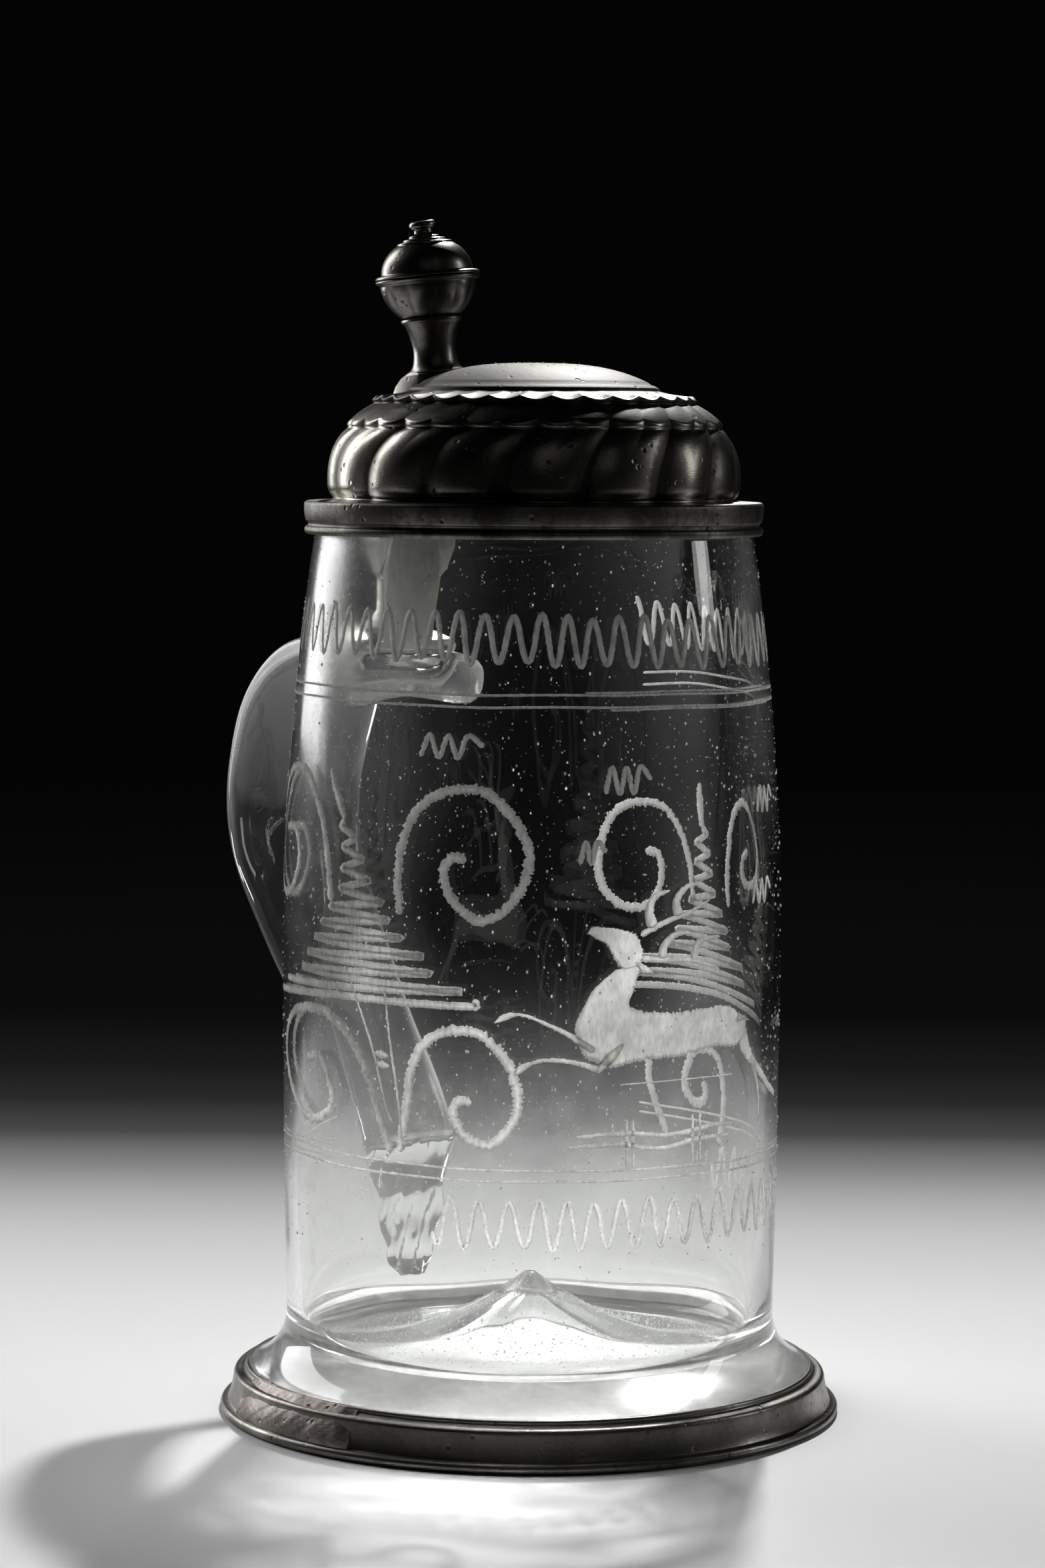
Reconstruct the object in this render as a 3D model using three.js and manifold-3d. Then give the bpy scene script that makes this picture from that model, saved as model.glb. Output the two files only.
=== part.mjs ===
// A lidded tankard: a blown glass body with an applied strap handle, held in pewter mounts.
// The lid turns on a pin over the handle and carries a ball thumbpiece.
// Millimetres, Z up. The tankard stands on Z = 0 with its handle towards +Y, and the origin
// is the middle of its footprint, handle included.
import * as THREE from 'three';
import { mergeVertices } from 'three/addons/utils/BufferGeometryUtils.js';
import Module from 'manifold-3d';

const wasm = await Module();
wasm.setup();

// Left between two pieces that touch
const GAP = 0.3;

// Glass body
const RIM_HEIGHT = 180.7;
const RIM_RADIUS = 42.9;
const RIM_WALL = 2.4;
const BELLY_HEIGHT = 98;
const BELLY_RADIUS = 49.8;
const WAIST_HEIGHT = 20;
const WAIST_RADIUS = 49;
const WAIST_WALL = 3.6;
const FLOOR_HEIGHT = 12.5;
const KICK_HEIGHT = 28;
const KICK_GLASS = 5.5;

// Pewter ring round the spread foot of the glass
const FOOT_RADIUS = 62.2;
const FOOT_RIM_WIDTH = 1.9;
const FOOT_SHOULDER_WIDTH = 3.3;
const FOOT_BEAD_WIDTH = 0.8;
const FOOT_RING_HEIGHT = 9.5;
const FOOT_SHOULDER_HEIGHT = 7.4;
const FOOT_RIM_HEIGHT = 2.1;
const FOOT_LIP_HEIGHT = 1.5;
const FOOT_LIP_WIDTH = 7.5;
const FOOT_HOLD = 1.8;
const SOLDER_THICKNESS = 0.7;
const SOLDER_START = -108;
const SOLDER_END = -71;

// Lid
const SKIRT_DEPTH = 5.2;
const SKIRT_CLEARANCE = 0.4;
const BAND_THICKNESS = 1.6;
const FLANGE_THICKNESS = 1.4;
const LID_WALL = 1.6;
const FLANGE_WIDTH = 4.6;
const WALL_WIDTH = 3.7;
const LOWER_STEP_WIDTH = 5.2;
const LOWER_STEP_DROP = 4.6;
const UPPER_STEP_WIDTH = 7.7;
const UPPER_STEP_DROP = 2.4;
const BOSS_HEIGHT = 22.5;
const BOSS_RISE = 4.9;
const LOBES = 16;
const LOBE_DEPTH = 1.1;
const SCALLOP_DEPTH = 0.7;
const WALL_TWIST = 10;
const TOP_TWIST = 15;

// Hinge between the lid's arm and the strap
const HINGE_DROP = 3.2;
const HINGE_CLEARANCE = 1.3;
const KNUCKLES = 5;
const KNUCKLE_RADIUS = 3.6;
const KNUCKLE_WIDTH = 3.7;
const PIN_RADIUS = 1.1;
const PIN_HEAD_RADIUS = 1.9;
const PIN_HEAD_HEIGHT = 0.9;
const ARM_WIDTH = 12.4;
const ARM_ROUNDING = 2.6;

// Thumbpiece
const THUMB_OFFSET = 9.9;
const THUMB_SEAT = 3.3;
const THUMB_LEAN = 5.5;
const STEM_HEIGHT = 11.2;
const STEM_NECK = 4.25;
const STEM_COLLAR = 6.45;
const BALL_RADIUS = 9.9;
const BALL_RING_RADIUS = 10.7;
const BALL_HEIGHT = 14.6;
const BALL_WALL = 1.5;
const KNOP_RADIUS = 2.7;
const KNOP_HEIGHT = 2.5;
const KNOP_TILT = 5;

// Handle and the pewter that holds it
const HANDLE_REACH = 95.3;
const HANDLE_REACH_HEIGHT = 115;
const HANDLE_ROOT_DROP = 34.7;
const HANDLE_ARCH = 14;
const HANDLE_FOOT_HEIGHT = 46;
const HANDLE_WIDTH = 27;
const HANDLE_THICKNESS = 5;
const HANDLE_PAD_WIDTH = 38;
const HANDLE_PAD_THICKNESS = 11;
const HANDLE_TAIL_WIDTH = 19;
const HANDLE_SKEW = 3.3;
const TAIL_END_HEIGHT = 18.5;
const COLLAR_WALL = 1.6;
const STRAP_THICKNESS = 2.6;
const STRAP_WAIST_WIDTH = 15.5;

// Smoothness of the turned and moulded surfaces
const GLASS_SIDES = 56;
const LID_SIDES = 64;
const DOME_SIDES = 2 * LID_SIDES;
const SMALL_SIDES = 20;

const RAD = Math.PI / 180;
const point = (x, y) => new THREE.Vector2(x, y);

// Places that several pieces share
const seatHeight = RIM_HEIGHT + GAP;
const flangeTop = seatHeight + FLANGE_THICKNESS;
const skirtHeight = RIM_HEIGHT - SKIRT_DEPTH;
const skirtRadius = glassRadius(skirtHeight) + SKIRT_CLEARANCE;
const bandRadius = skirtRadius + BAND_THICKNESS;
const domeRadius = bandRadius - FLANGE_WIDTH;
const stepDrop = UPPER_STEP_DROP + LOWER_STEP_DROP;
const lowerStep = point(domeRadius - WALL_WIDTH, flangeTop + BOSS_HEIGHT - stepDrop);
const upperStep = point(lowerStep.x - LOWER_STEP_WIDTH, lowerStep.y + LOWER_STEP_DROP);
const bossRadius = upperStep.x - UPPER_STEP_WIDTH;
const hinge = point(bandRadius + HINGE_CLEARANCE + KNUCKLE_RADIUS, RIM_HEIGHT - HINGE_DROP);
const hingeWidth = KNUCKLES * KNUCKLE_WIDTH + (KNUCKLES - 1) * GAP;
const thumbDistance = bossRadius + THUMB_OFFSET;
const thumbSeat = flangeTop + BOSS_HEIGHT + THUMB_SEAT;
const stemFoot = STEM_COLLAR - 0.85;
const footWallRadius = FOOT_RADIUS - FOOT_RIM_WIDTH;
const footBeadRadius = footWallRadius - FOOT_SHOULDER_WIDTH;
const handleRootHeight = RIM_HEIGHT - HANDLE_ROOT_DROP;
const axisShift = (FOOT_RADIUS - HANDLE_REACH) / 2;

// Outer radius of the glass wall: a barrel, drawn in most towards the rim
function glassRadius(height) {
  if (height >= BELLY_HEIGHT) {
    const above = (height - BELLY_HEIGHT) / (RIM_HEIGHT - BELLY_HEIGHT);
    return BELLY_RADIUS - (BELLY_RADIUS - RIM_RADIUS) * above ** 1.9;
  }
  const below = Math.min(1, (BELLY_HEIGHT - height) / (BELLY_HEIGHT - WAIST_HEIGHT));
  return BELLY_RADIUS - (BELLY_RADIUS - WAIST_RADIUS) * below ** 2;
}

function wallThickness(height) {
  return THREE.MathUtils.mapLinear(height, WAIST_HEIGHT, RIM_HEIGHT, WAIST_WALL, RIM_WALL);
}

// Points along a curve, both ends included
function along(curve, steps) {
  return curve.getPoints(steps);
}

function arc(centre, radiusX, radiusY, fromDegrees, toDegrees, steps) {
  const points = [];
  for (let i = 0; i <= steps; i += 1) {
    const angle = RAD * THREE.MathUtils.lerp(fromDegrees, toDegrees, i / steps);
    points.push(point(centre.x + radiusX * Math.cos(angle), centre.y + radiusY * Math.sin(angle)));
  }
  return points;
}

// Reverses the triangles of a geometry that was wound inside out
function facingOut(geometry) {
  const places = geometry.attributes.position;
  const index = geometry.index;
  const [a, b, c] = [new THREE.Vector3(), new THREE.Vector3(), new THREE.Vector3()];
  let volume = 0;
  for (let i = 0; i < index.count; i += 3) {
    a.fromBufferAttribute(places, index.getX(i));
    b.fromBufferAttribute(places, index.getX(i + 1));
    c.fromBufferAttribute(places, index.getX(i + 2));
    volume += a.dot(b.cross(c));
  }
  if (volume < 0) {
    index.array.reverse();
  }
  geometry.computeVertexNormals();
  return geometry;
}

// Turns a profile of radius and height round the vertical axis
function turned(profile, sides) {
  const lathe = new THREE.LatheGeometry(profile, sides);
  lathe.deleteAttribute('normal');
  lathe.deleteAttribute('uv');
  lathe.rotateX(Math.PI / 2);
  return facingOut(mergeVertices(lathe, 1e-4));
}

// Joins a list of rings into one closed skin. A ring of one point is a pole, and a ring may
// have a whole number of times as many points as the next.
function skin(rings) {
  const places = [];
  const triangles = [];
  const starts = rings.map((ring) => {
    const start = places.length / 3;
    ring.forEach((place) => places.push(place.x, place.y, place.z));
    return start;
  });
  for (let i = 0; i < rings.length - 1; i += 1) {
    const swap = rings[i].length < rings[i + 1].length;
    const [fine, coarse] = swap ? [i + 1, i] : [i, i + 1];
    const many = rings[fine].length;
    const few = rings[coarse].length;
    const corner = (ring, k, count) => starts[ring] + (k % count);
    const add = (a, b, c) => triangles.push(...(swap ? [a, c, b] : [a, b, c]));
    for (let k = 0; k < many; k += 1) {
      const near = Math.floor(((k + 0.5) * few) / many);
      const share = many / few;
      const owner = few === 1 ? 0 : near + (k % share >= share / 2 ? 1 : 0);
      add(corner(fine, k, many), corner(fine, k + 1, many), corner(coarse, owner, few));
    }
    for (let k = 0; k < few && few > 1; k += 1) {
      const middle = Math.round(((k + 0.5) * many) / few);
      add(corner(coarse, k + 1, few), corner(coarse, k, few), corner(fine, middle, many));
    }
  }
  const geometry = new THREE.BufferGeometry();
  geometry.setAttribute('position', new THREE.Float32BufferAttribute(places, 3));
  geometry.setIndex(triangles);
  return facingOut(geometry);
}

// Solids that can be cut and joined, and back again
function toSolid(geometry) {
  const bare = geometry.clone();
  bare.deleteAttribute('normal');
  bare.deleteAttribute('uv');
  const merged = mergeVertices(bare, 1e-4);
  const corners = merged.index.array;
  const kept = [];
  for (let i = 0; i < corners.length; i += 3) {
    const [a, b, c] = [corners[i], corners[i + 1], corners[i + 2]];
    if (a !== b && b !== c && c !== a) {
      kept.push(a, b, c);
    }
  }
  const vertProperties = new Float32Array(merged.attributes.position.array);
  return new wasm.Manifold(new wasm.Mesh({ numProp: 3, vertProperties, triVerts: new Uint32Array(kept) }));
}

function fromSolid(solid) {
  const mesh = solid.getMesh();
  const geometry = new THREE.BufferGeometry();
  geometry.setAttribute('position', new THREE.BufferAttribute(new Float32Array(mesh.vertProperties), 3));
  geometry.setIndex(new THREE.BufferAttribute(new Uint32Array(mesh.triVerts), 1));
  geometry.computeVertexNormals();
  return geometry;
}

// An outline of distance from the axis and height, as thick as a width across the hinge
function fromSide(outline, width, middle = 0) {
  const settings = { depth: width, bevelEnabled: false, curveSegments: 8 };
  const geometry = new THREE.ExtrudeGeometry(new THREE.Shape(outline), settings);
  geometry.translate(0, 0, middle - width / 2);
  const turn = new THREE.Matrix4();
  turn.makeBasis(new THREE.Vector3(0, 1, 0), new THREE.Vector3(0, 0, 1), new THREE.Vector3(1, 0, 0));
  return toSolid(geometry.applyMatrix4(turn));
}

// An outline of width and height as seen from behind, reaching through the whole hinge
function fromBehind(outline) {
  const reach = hinge.x + 4 * KNUCKLE_RADIUS;
  const settings = { depth: reach, bevelEnabled: false };
  const geometry = new THREE.ExtrudeGeometry(new THREE.Shape(outline), settings);
  geometry.rotateX(Math.PI / 2);
  geometry.translate(0, reach, 0);
  return toSolid(geometry);
}

// A round bar across the hinge, on the pin's axis
function hingeBar(radius, width, middle) {
  const bar = new THREE.CylinderGeometry(radius, radius, width, SMALL_SIDES);
  bar.rotateZ(Math.PI / 2);
  bar.translate(middle, hinge.x, hinge.y);
  return toSolid(bar);
}

// Middle of each knuckle across the hinge; the outer ones and the centre one are fixed
function knucklePlaces(fixed) {
  const pitch = KNUCKLE_WIDTH + GAP;
  const places = [];
  for (let i = 0; i < KNUCKLES; i += 1) {
    if ((i % 2 === 0) === fixed) {
      places.push((i - (KNUCKLES - 1) / 2) * pitch);
    }
  }
  return places;
}

// Adds a leaf's own knuckles, clears the other leaf's and bores the hole for the pin
function withKnuckles(leaf, fixed) {
  let result = leaf;
  for (const middle of knucklePlaces(!fixed)) {
    result = result.subtract(hingeBar(KNUCKLE_RADIUS + GAP, KNUCKLE_WIDTH + 2 * GAP, middle));
  }
  for (const middle of knucklePlaces(fixed)) {
    result = result.add(hingeBar(KNUCKLE_RADIUS, KNUCKLE_WIDTH, middle));
  }
  return result.subtract(hingeBar(PIN_RADIUS + GAP, hingeWidth + 2, 0));
}

// Glass body

// Where the pewter bead grips the glass, and the edge of the glass foot below it
const gripRadius = footBeadRadius - FOOT_BEAD_WIDTH - GAP;
const footEdgeHeight = (FOOT_LIP_HEIGHT + FOOT_SHOULDER_HEIGHT) / 2;

function footFlare() {
  const grip = point(gripRadius, FOOT_RING_HEIGHT);
  const out = point(THREE.MathUtils.lerp(gripRadius, WAIST_RADIUS, 0.4), FOOT_RING_HEIGHT + 1.1);
  const up = point(WAIST_RADIUS, THREE.MathUtils.lerp(WAIST_HEIGHT, FOOT_RING_HEIGHT, 0.5));
  return new THREE.CubicBezierCurve(grip, out, up, point(WAIST_RADIUS, WAIST_HEIGHT));
}

// Edge of the glass foot, from its underside up to the bead, moved out by a clearance
function footEdge(clearance) {
  const centre = point(gripRadius, footEdgeHeight);
  const hold = FOOT_HOLD + clearance;
  const lower = arc(centre, hold, footEdgeHeight - FOOT_LIP_HEIGHT - GAP + clearance, -90, 0, 2);
  const upper = arc(centre, hold, FOOT_RING_HEIGHT - footEdgeHeight, 0, 75, 2);
  return lower.concat(upper.slice(1));
}

// Height of the floor above and below: a cone pushed up to a tip, flattening outwards
function kick(radius, outerRadius, low, high, sharpness) {
  return low + (high - low) * (1 - radius / outerRadius) ** sharpness;
}

function glassUnderside() {
  const rest = gripRadius - FOOT_LIP_WIDTH / 2;
  const low = FOOT_LIP_HEIGHT + GAP;
  const high = KICK_HEIGHT - KICK_GLASS;
  const shares = [0, 0.12, 0.45, 1];
  return shares.map((share) => point(share * rest, kick(share, 1, low, high, 1.9)));
}

function glassFloor() {
  const outer = WAIST_RADIUS - WAIST_WALL;
  const shares = [0.86, 0.5, 0.16, 0];
  return shares.map((share) => point(share * outer, kick(share, 1, FLOOR_HEIGHT, KICK_HEIGHT, 2.2)));
}

function glassProfile() {
  const shoulder = RIM_HEIGHT - 1;
  const wall = [WAIST_HEIGHT, (WAIST_HEIGHT + BELLY_HEIGHT) / 2];
  for (let i = 0; i <= 4; i += 1) {
    wall.push(THREE.MathUtils.lerp(BELLY_HEIGHT, shoulder, i / 4));
  }
  const outside = wall.slice(1).map((height) => point(glassRadius(height), height));
  const inside = wall.filter((height, i) => i % 2 === 0).toReversed()
    .map((height) => point(glassRadius(height) - wallThickness(height), height));
  const rim = arc(point(RIM_RADIUS - RIM_WALL / 2, shoulder), RIM_WALL / 2, 1, 45, 135, 1);
  return [
    ...glassUnderside(), ...footEdge(0), ...along(footFlare(), 3), ...outside,
    ...rim, ...inside, ...glassFloor(),
  ];
}

function glassBody() {
  return turned(glassProfile(), GLASS_SIDES);
}

// The space the glass takes up, with its clearance, for cutting what lies against it
function glassClearance() {
  const outline = [point(0, FOOT_LIP_HEIGHT), point(gripRadius, FOOT_LIP_HEIGHT), ...along(footFlare(), 3)];
  for (let i = 1; i <= 12; i += 1) {
    const height = THREE.MathUtils.lerp(WAIST_HEIGHT, RIM_HEIGHT, i / 12);
    outline.push(point(glassRadius(height), height));
  }
  const grown = outline.map((place) => point(place.x > 0 ? place.x + GAP : 0, place.y));
  return toSolid(turned([...grown, point(0, RIM_HEIGHT)], GLASS_SIDES));
}

// Foot ring

// Outside of the ring above its rim: wall, shoulder fillet, groove and top bead
function footWall() {
  const shoulder = point(footWallRadius - 1.4, FOOT_SHOULDER_HEIGHT);
  const grooveHeight = (FOOT_SHOULDER_HEIGHT + FOOT_RING_HEIGHT) / 2;
  return [
    point(footWallRadius + 0.2, FOOT_RIM_HEIGHT + 0.3),
    point(shoulder.x + 0.4, shoulder.y - 0.7),
    shoulder,
    point((shoulder.x + footBeadRadius) / 2 - 0.4, grooveHeight - 0.1),
    point(footBeadRadius, FOOT_RING_HEIGHT - 0.3),
  ];
}

function footRing() {
  const rim = arc(point(FOOT_RADIUS - 1, FOOT_RIM_HEIGHT / 2), 1, FOOT_RIM_HEIGHT / 2, -90, 70, 2);
  const inside = footEdge(GAP).toReversed();
  const lip = gripRadius - FOOT_LIP_WIDTH;
  const bead = [point(footBeadRadius - 0.3, FOOT_RING_HEIGHT), point(gripRadius + GAP, FOOT_RING_HEIGHT)];
  const under = [point(lip, FOOT_LIP_HEIGHT), point(lip, 0)];
  const loop = [point(lip, 0), ...rim, ...footWall(), ...bead, ...inside, ...under];
  return turned(loop, GLASS_SIDES);
}

// Lump of solder smeared over the joint of the ring, from its rim to its bead
function solderPatch() {
  const wall = footWall().map((place) => point(place.x + GAP, place.y));
  const first = wall[0];
  const last = wall[wall.length - 1];
  const steps = 12;
  const rings = [];
  for (let i = 0; i <= steps; i += 1) {
    const share = i / steps;
    const body = 0.35 + 0.65 * Math.sin(Math.PI * Math.min(1, 0.1 + 0.8 * share)) ** 0.5;
    const outer = [0.05, 0.3, 0.55, 0.8, 0.97].map((t) => {
      const chord = THREE.MathUtils.lerp(first.x, last.x, t ** 1.6);
      const bulge = SOLDER_THICKNESS * body * (0.6 + 0.4 * Math.sin(Math.PI * t));
      return point(chord + bulge, THREE.MathUtils.lerp(first.y, last.y, t));
    });
    const angle = RAD * THREE.MathUtils.lerp(SOLDER_START, SOLDER_END, share);
    const loop = [...wall, ...outer.toReversed()];
    rings.push(loop.map((place) => placeAt(place.x, angle, place.y)));
  }
  return skin([[middleOf(rings[0])], ...rings, [middleOf(rings[steps])]]);
}

// A place at a distance from the axis; angle 0 is the front, and it grows to the right
function placeAt(radius, angle, height) {
  return new THREE.Vector3(radius * Math.sin(angle), -radius * Math.cos(angle), height);
}

function middleOf(ring) {
  const middle = new THREE.Vector3();
  ring.forEach((place) => middle.add(place));
  return middle.divideScalar(ring.length);
}

// Lid

function circle(radius, height) {
  const ring = [];
  for (let i = 0; i < LID_SIDES; i += 1) {
    ring.push(placeAt(radius, (i * 2 * Math.PI) / LID_SIDES, height));
  }
  return ring;
}

// One ring of the dome. Broad lobes and, twice as many, small scallops draw it in between
// their crests, and the whole ring is turned by the twist of the lobes at its height.
function lobedRing(place, { lobe = 0, scallop = 0, lift = 0, twist = 0 }) {
  const ring = [];
  for (let i = 0; i < DOME_SIDES; i += 1) {
    const angle = (i * 2 * Math.PI) / DOME_SIDES;
    const groove = 1 - Math.abs(Math.sin((LOBES * angle) / 2));
    const notch = 1 - Math.abs(Math.sin(LOBES * angle));
    const radius = place.x - lobe * LOBE_DEPTH * groove - scallop * SCALLOP_DEPTH * notch;
    ring.push(placeAt(radius, angle + RAD * twist, place.y + lift * SCALLOP_DEPTH * notch));
  }
  return ring;
}

// Crest line of the dome from the boss down to the band: two steps and the rounded wall
function domeCurves() {
  const bossEdge = point(bossRadius + 0.6, flangeTop + BOSS_HEIGHT - 0.5);
  const belly = point(domeRadius, flangeTop + 3.6);
  const foot = point(domeRadius - 1.6, flangeTop + 0.6);
  const underUpper = point(upperStep.x - 0.3, upperStep.y - 0.5);
  const underLower = point(lowerStep.x, lowerStep.y - 0.6);
  return {
    top: new THREE.QuadraticBezierCurve(
      bossEdge, point(lerpX(bossEdge, upperStep, 0.6), bossEdge.y), upperStep,
    ),
    step: new THREE.QuadraticBezierCurve(
      underUpper, point(lerpX(underUpper, lowerStep, 0.65), lerpY(underUpper, lowerStep, 0.45)), lowerStep,
    ),
    wall: new THREE.QuadraticBezierCurve(
      underLower, point(domeRadius + 0.1, lerpY(underLower, belly, 0.3)), belly,
    ),
    tuck: new THREE.QuadraticBezierCurve(belly, point(domeRadius, lerpY(belly, foot, 0.6)), foot),
  };
}

function lerpX(a, b, share) {
  return THREE.MathUtils.lerp(a.x, b.x, share);
}

function lerpY(a, b, share) {
  return THREE.MathUtils.lerp(a.y, b.y, share);
}

function domeRings() {
  const { top, step, wall, tuck } = domeCurves();
  const rings = [];
  along(top, 2).forEach((place, i) => {
    const share = i / 2;
    const twist = THREE.MathUtils.lerp(TOP_TWIST + 3, TOP_TWIST, share);
    rings.push(lobedRing(place, { scallop: share ** 1.5, lift: share, twist }));
  });
  along(step, 2).forEach((place, i) => {
    const share = i / 2;
    const twist = THREE.MathUtils.lerp(TOP_TWIST, WALL_TWIST, share);
    rings.push(lobedRing(place, { lobe: 0.5 * share, scallop: 0.9, lift: share, twist }));
  });
  along(wall, 3).forEach((place, i) => {
    const share = i / 3;
    const twist = WALL_TWIST * (1 - share) ** 1.5;
    const scallop = 0.6 * (1 - share) ** 2;
    rings.push(lobedRing(place, { lobe: 0.6 + 0.4 * share, scallop, twist }));
  });
  rings.push(lobedRing(tuck.getPoint(1), { lobe: 0.8 }));
  return rings;
}

function bossRings() {
  const edge = flangeTop + BOSS_HEIGHT;
  const shares = [0.45, 0.75, 0.91, 1];
  const rings = shares.map((share) => circle(share * bossRadius, edge + BOSS_RISE * (1 - share ** 2.9)));
  return [[new THREE.Vector3(0, 0, edge + BOSS_RISE)], ...rings];
}

// Outside of the moulded band: rounded edge, flat face, groove and small lower bead
function bandProfile() {
  const grooveHeight = skirtHeight + 2.1;
  return [
    point(bandRadius - 0.6, flangeTop),
    point(bandRadius, flangeTop - 0.7),
    point(bandRadius - 0.3, grooveHeight + 0.8),
    point(bandRadius - 0.8, grooveHeight + 0.1),
    point(bandRadius - 0.1, grooveHeight - 0.7),
    point(bandRadius - 0.7, skirtHeight),
  ];
}

// Inside of the lid: skirt, the seat on the rim and the plain hollow of the dome
function insideProfile() {
  const room = LID_WALL + LOBE_DEPTH;
  return [
    point(skirtRadius, skirtHeight + 0.2),
    point(skirtRadius, seatHeight),
    point(domeRadius - 1 - room, seatHeight),
    point(domeRadius - room, THREE.MathUtils.lerp(flangeTop, lowerStep.y, 0.45)),
    point(lowerStep.x - room, lowerStep.y - 2.4),
    point(upperStep.x - room - 1, upperStep.y - LID_WALL - 0.8),
    point(bossRadius * 0.75, flangeTop + BOSS_HEIGHT - LID_WALL),
  ];
}

function lidShell() {
  const band = bandProfile().map((place) => circle(place.x, place.y));
  const inside = insideProfile().map((place) => circle(place.x, place.y));
  const crown = new THREE.Vector3(0, 0, flangeTop + BOSS_HEIGHT + BOSS_RISE - LID_WALL - 0.6);
  return skin([...bossRings(), ...domeRings(), ...band, ...inside, [crown]]);
}

// The space the lid takes up, with its clearance, measured over the crests of its lobes
function lidClearance() {
  const { top, step, wall, tuck } = domeCurves();
  const crest = [...along(top, 2), ...along(step, 2), ...along(wall, 3), tuck.getPoint(1)];
  const grown = crest.map((place) => point(place.x + GAP, place.y + GAP));
  const edge = flangeTop + BOSS_HEIGHT + GAP;
  const band = bandRadius + GAP;
  return toSolid(turned([
    point(0, edge), point(bossRadius, edge), ...grown,
    point(band, flangeTop + GAP), point(band, skirtHeight - GAP), point(0, skirtHeight - GAP),
  ], LID_SIDES));
}

// Hinge arm: from the pin up over the back of the dome to the seat of the thumbpiece

function armOutline() {
  const back = new THREE.SplineCurve([
    point(hinge.x + 2, hinge.y + 3),
    point(hinge.x + 1, hinge.y + 6),
    point(domeRadius + 5.4, flangeTop + 6.5),
    point(domeRadius + 3.8, flangeTop + 12),
    point(lowerStep.x + 5.6, lowerStep.y + 2.5),
    point(thumbDistance + STEM_COLLAR + 0.4, thumbSeat - ARM_ROUNDING),
  ]);
  const tip = thumbDistance - STEM_COLLAR;
  const rounded = thumbSeat - 0.35 * ARM_ROUNDING;
  return [
    ...along(back, 7),
    point(thumbDistance + STEM_COLLAR - 0.2, rounded),
    point(thumbDistance + stemFoot, thumbSeat),
    point(thumbDistance - stemFoot, thumbSeat),
    point(tip + 0.2, rounded),
    point(tip - 0.3, thumbSeat - ARM_ROUNDING),
    point(tip, flangeTop + BOSS_HEIGHT - 2),
    point(lowerStep.x - 4, lowerStep.y - 4),
    point(bandRadius - 3, flangeTop - 1),
    point(bandRadius - 1, hinge.y + 1.2),
    point(hinge.x + KNUCKLE_RADIUS - 0.4, hinge.y + 1.2),
  ];
}

// The arm from behind: as wide as the hinge below, drawn in to a strap above
function armFace() {
  const half = hingeWidth / 2;
  const slim = ARM_WIDTH / 2;
  const low = flangeTop + 3;
  const high = lowerStep.y - 2;
  const middle = (low + high) / 2;
  const right = new THREE.CubicBezierCurve(
    point(half, low), point(half, middle), point(slim, middle), point(slim, high),
  );
  const outline = [
    point(half, hinge.y - KNUCKLE_RADIUS), ...along(right, 4), point(slim, thumbSeat - ARM_ROUNDING),
    point(slim - 0.2, thumbSeat - 0.35 * ARM_ROUNDING), point(stemFoot, thumbSeat),
    point(stemFoot, thumbSeat + 1),
  ];
  const left = outline.map((place) => point(-place.x, place.y)).toReversed();
  return fromBehind([...outline, ...left]);
}

// Round end of the arm under the thumbpiece
function armEnd() {
  const end = new THREE.CylinderGeometry(ARM_WIDTH / 2, ARM_WIDTH / 2, 40, SMALL_SIDES);
  end.rotateX(Math.PI / 2);
  end.translate(0, thumbDistance, thumbSeat);
  const rest = new THREE.BoxGeometry(2 * hingeWidth, 40, 80);
  rest.translate(0, thumbDistance + 20, thumbSeat);
  return toSolid(end).add(toSolid(rest));
}

function lidArm() {
  const plate = fromSide(armOutline(), hingeWidth).intersect(armFace()).intersect(armEnd());
  return fromSolid(withKnuckles(plate.subtract(lidClearance()), false));
}

// Hinge strap: from the fixed knuckles down the glass to its foot on the handle collar

function strapOutline() {
  const down = (drop) => hinge.y - drop;
  const collarTop = collarHeight();
  const face = new THREE.SplineCurve([
    point(hinge.x + 1.6, down(3.1)),
    point(hinge.x + 0.4, down(5.6)),
    point(glassRadius(down(9)) + GAP + STRAP_THICKNESS + 0.8, down(9)),
    point(glassRadius(down(15)) + GAP + STRAP_THICKNESS, down(15)),
    point(glassRadius(collarTop + 2) + GAP + STRAP_THICKNESS + 0.9, collarTop + 4),
    point(collarMiddle().x + 1.5, collarTop + 1.6),
  ]);
  const inside = glassRadius(down(15)) - 4;
  return [
    ...along(face, 8),
    point(collarMiddle().x + 2.5, collarTop),
    point(collarMiddle().x + 2.5, collarTop - 6),
    point(inside, collarTop - 6),
    point(inside, down(1.2)),
    point(hinge.x + KNUCKLE_RADIUS - 0.4, down(1.2)),
  ];
}

// The strap from behind: slimmer in the middle than at the hinge and at its foot
function strapFace() {
  const half = hingeWidth / 2;
  const slim = STRAP_WAIST_WIDTH / 2;
  const right = new THREE.SplineCurve([
    point(half, hinge.y - 5.5),
    point(slim + 0.6, hinge.y - 10),
    point(slim, hinge.y - 14),
    point(slim + 0.5, hinge.y - 18),
    point(half - 0.4, collarHeight() + 1),
  ]);
  const foot = point(half, collarHeight() - 6);
  const outline = [point(half, hinge.y + KNUCKLE_RADIUS), ...along(right, 5), foot];
  const left = outline.map((place) => point(-place.x, place.y)).toReversed();
  return fromBehind([...outline, ...left]);
}

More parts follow.
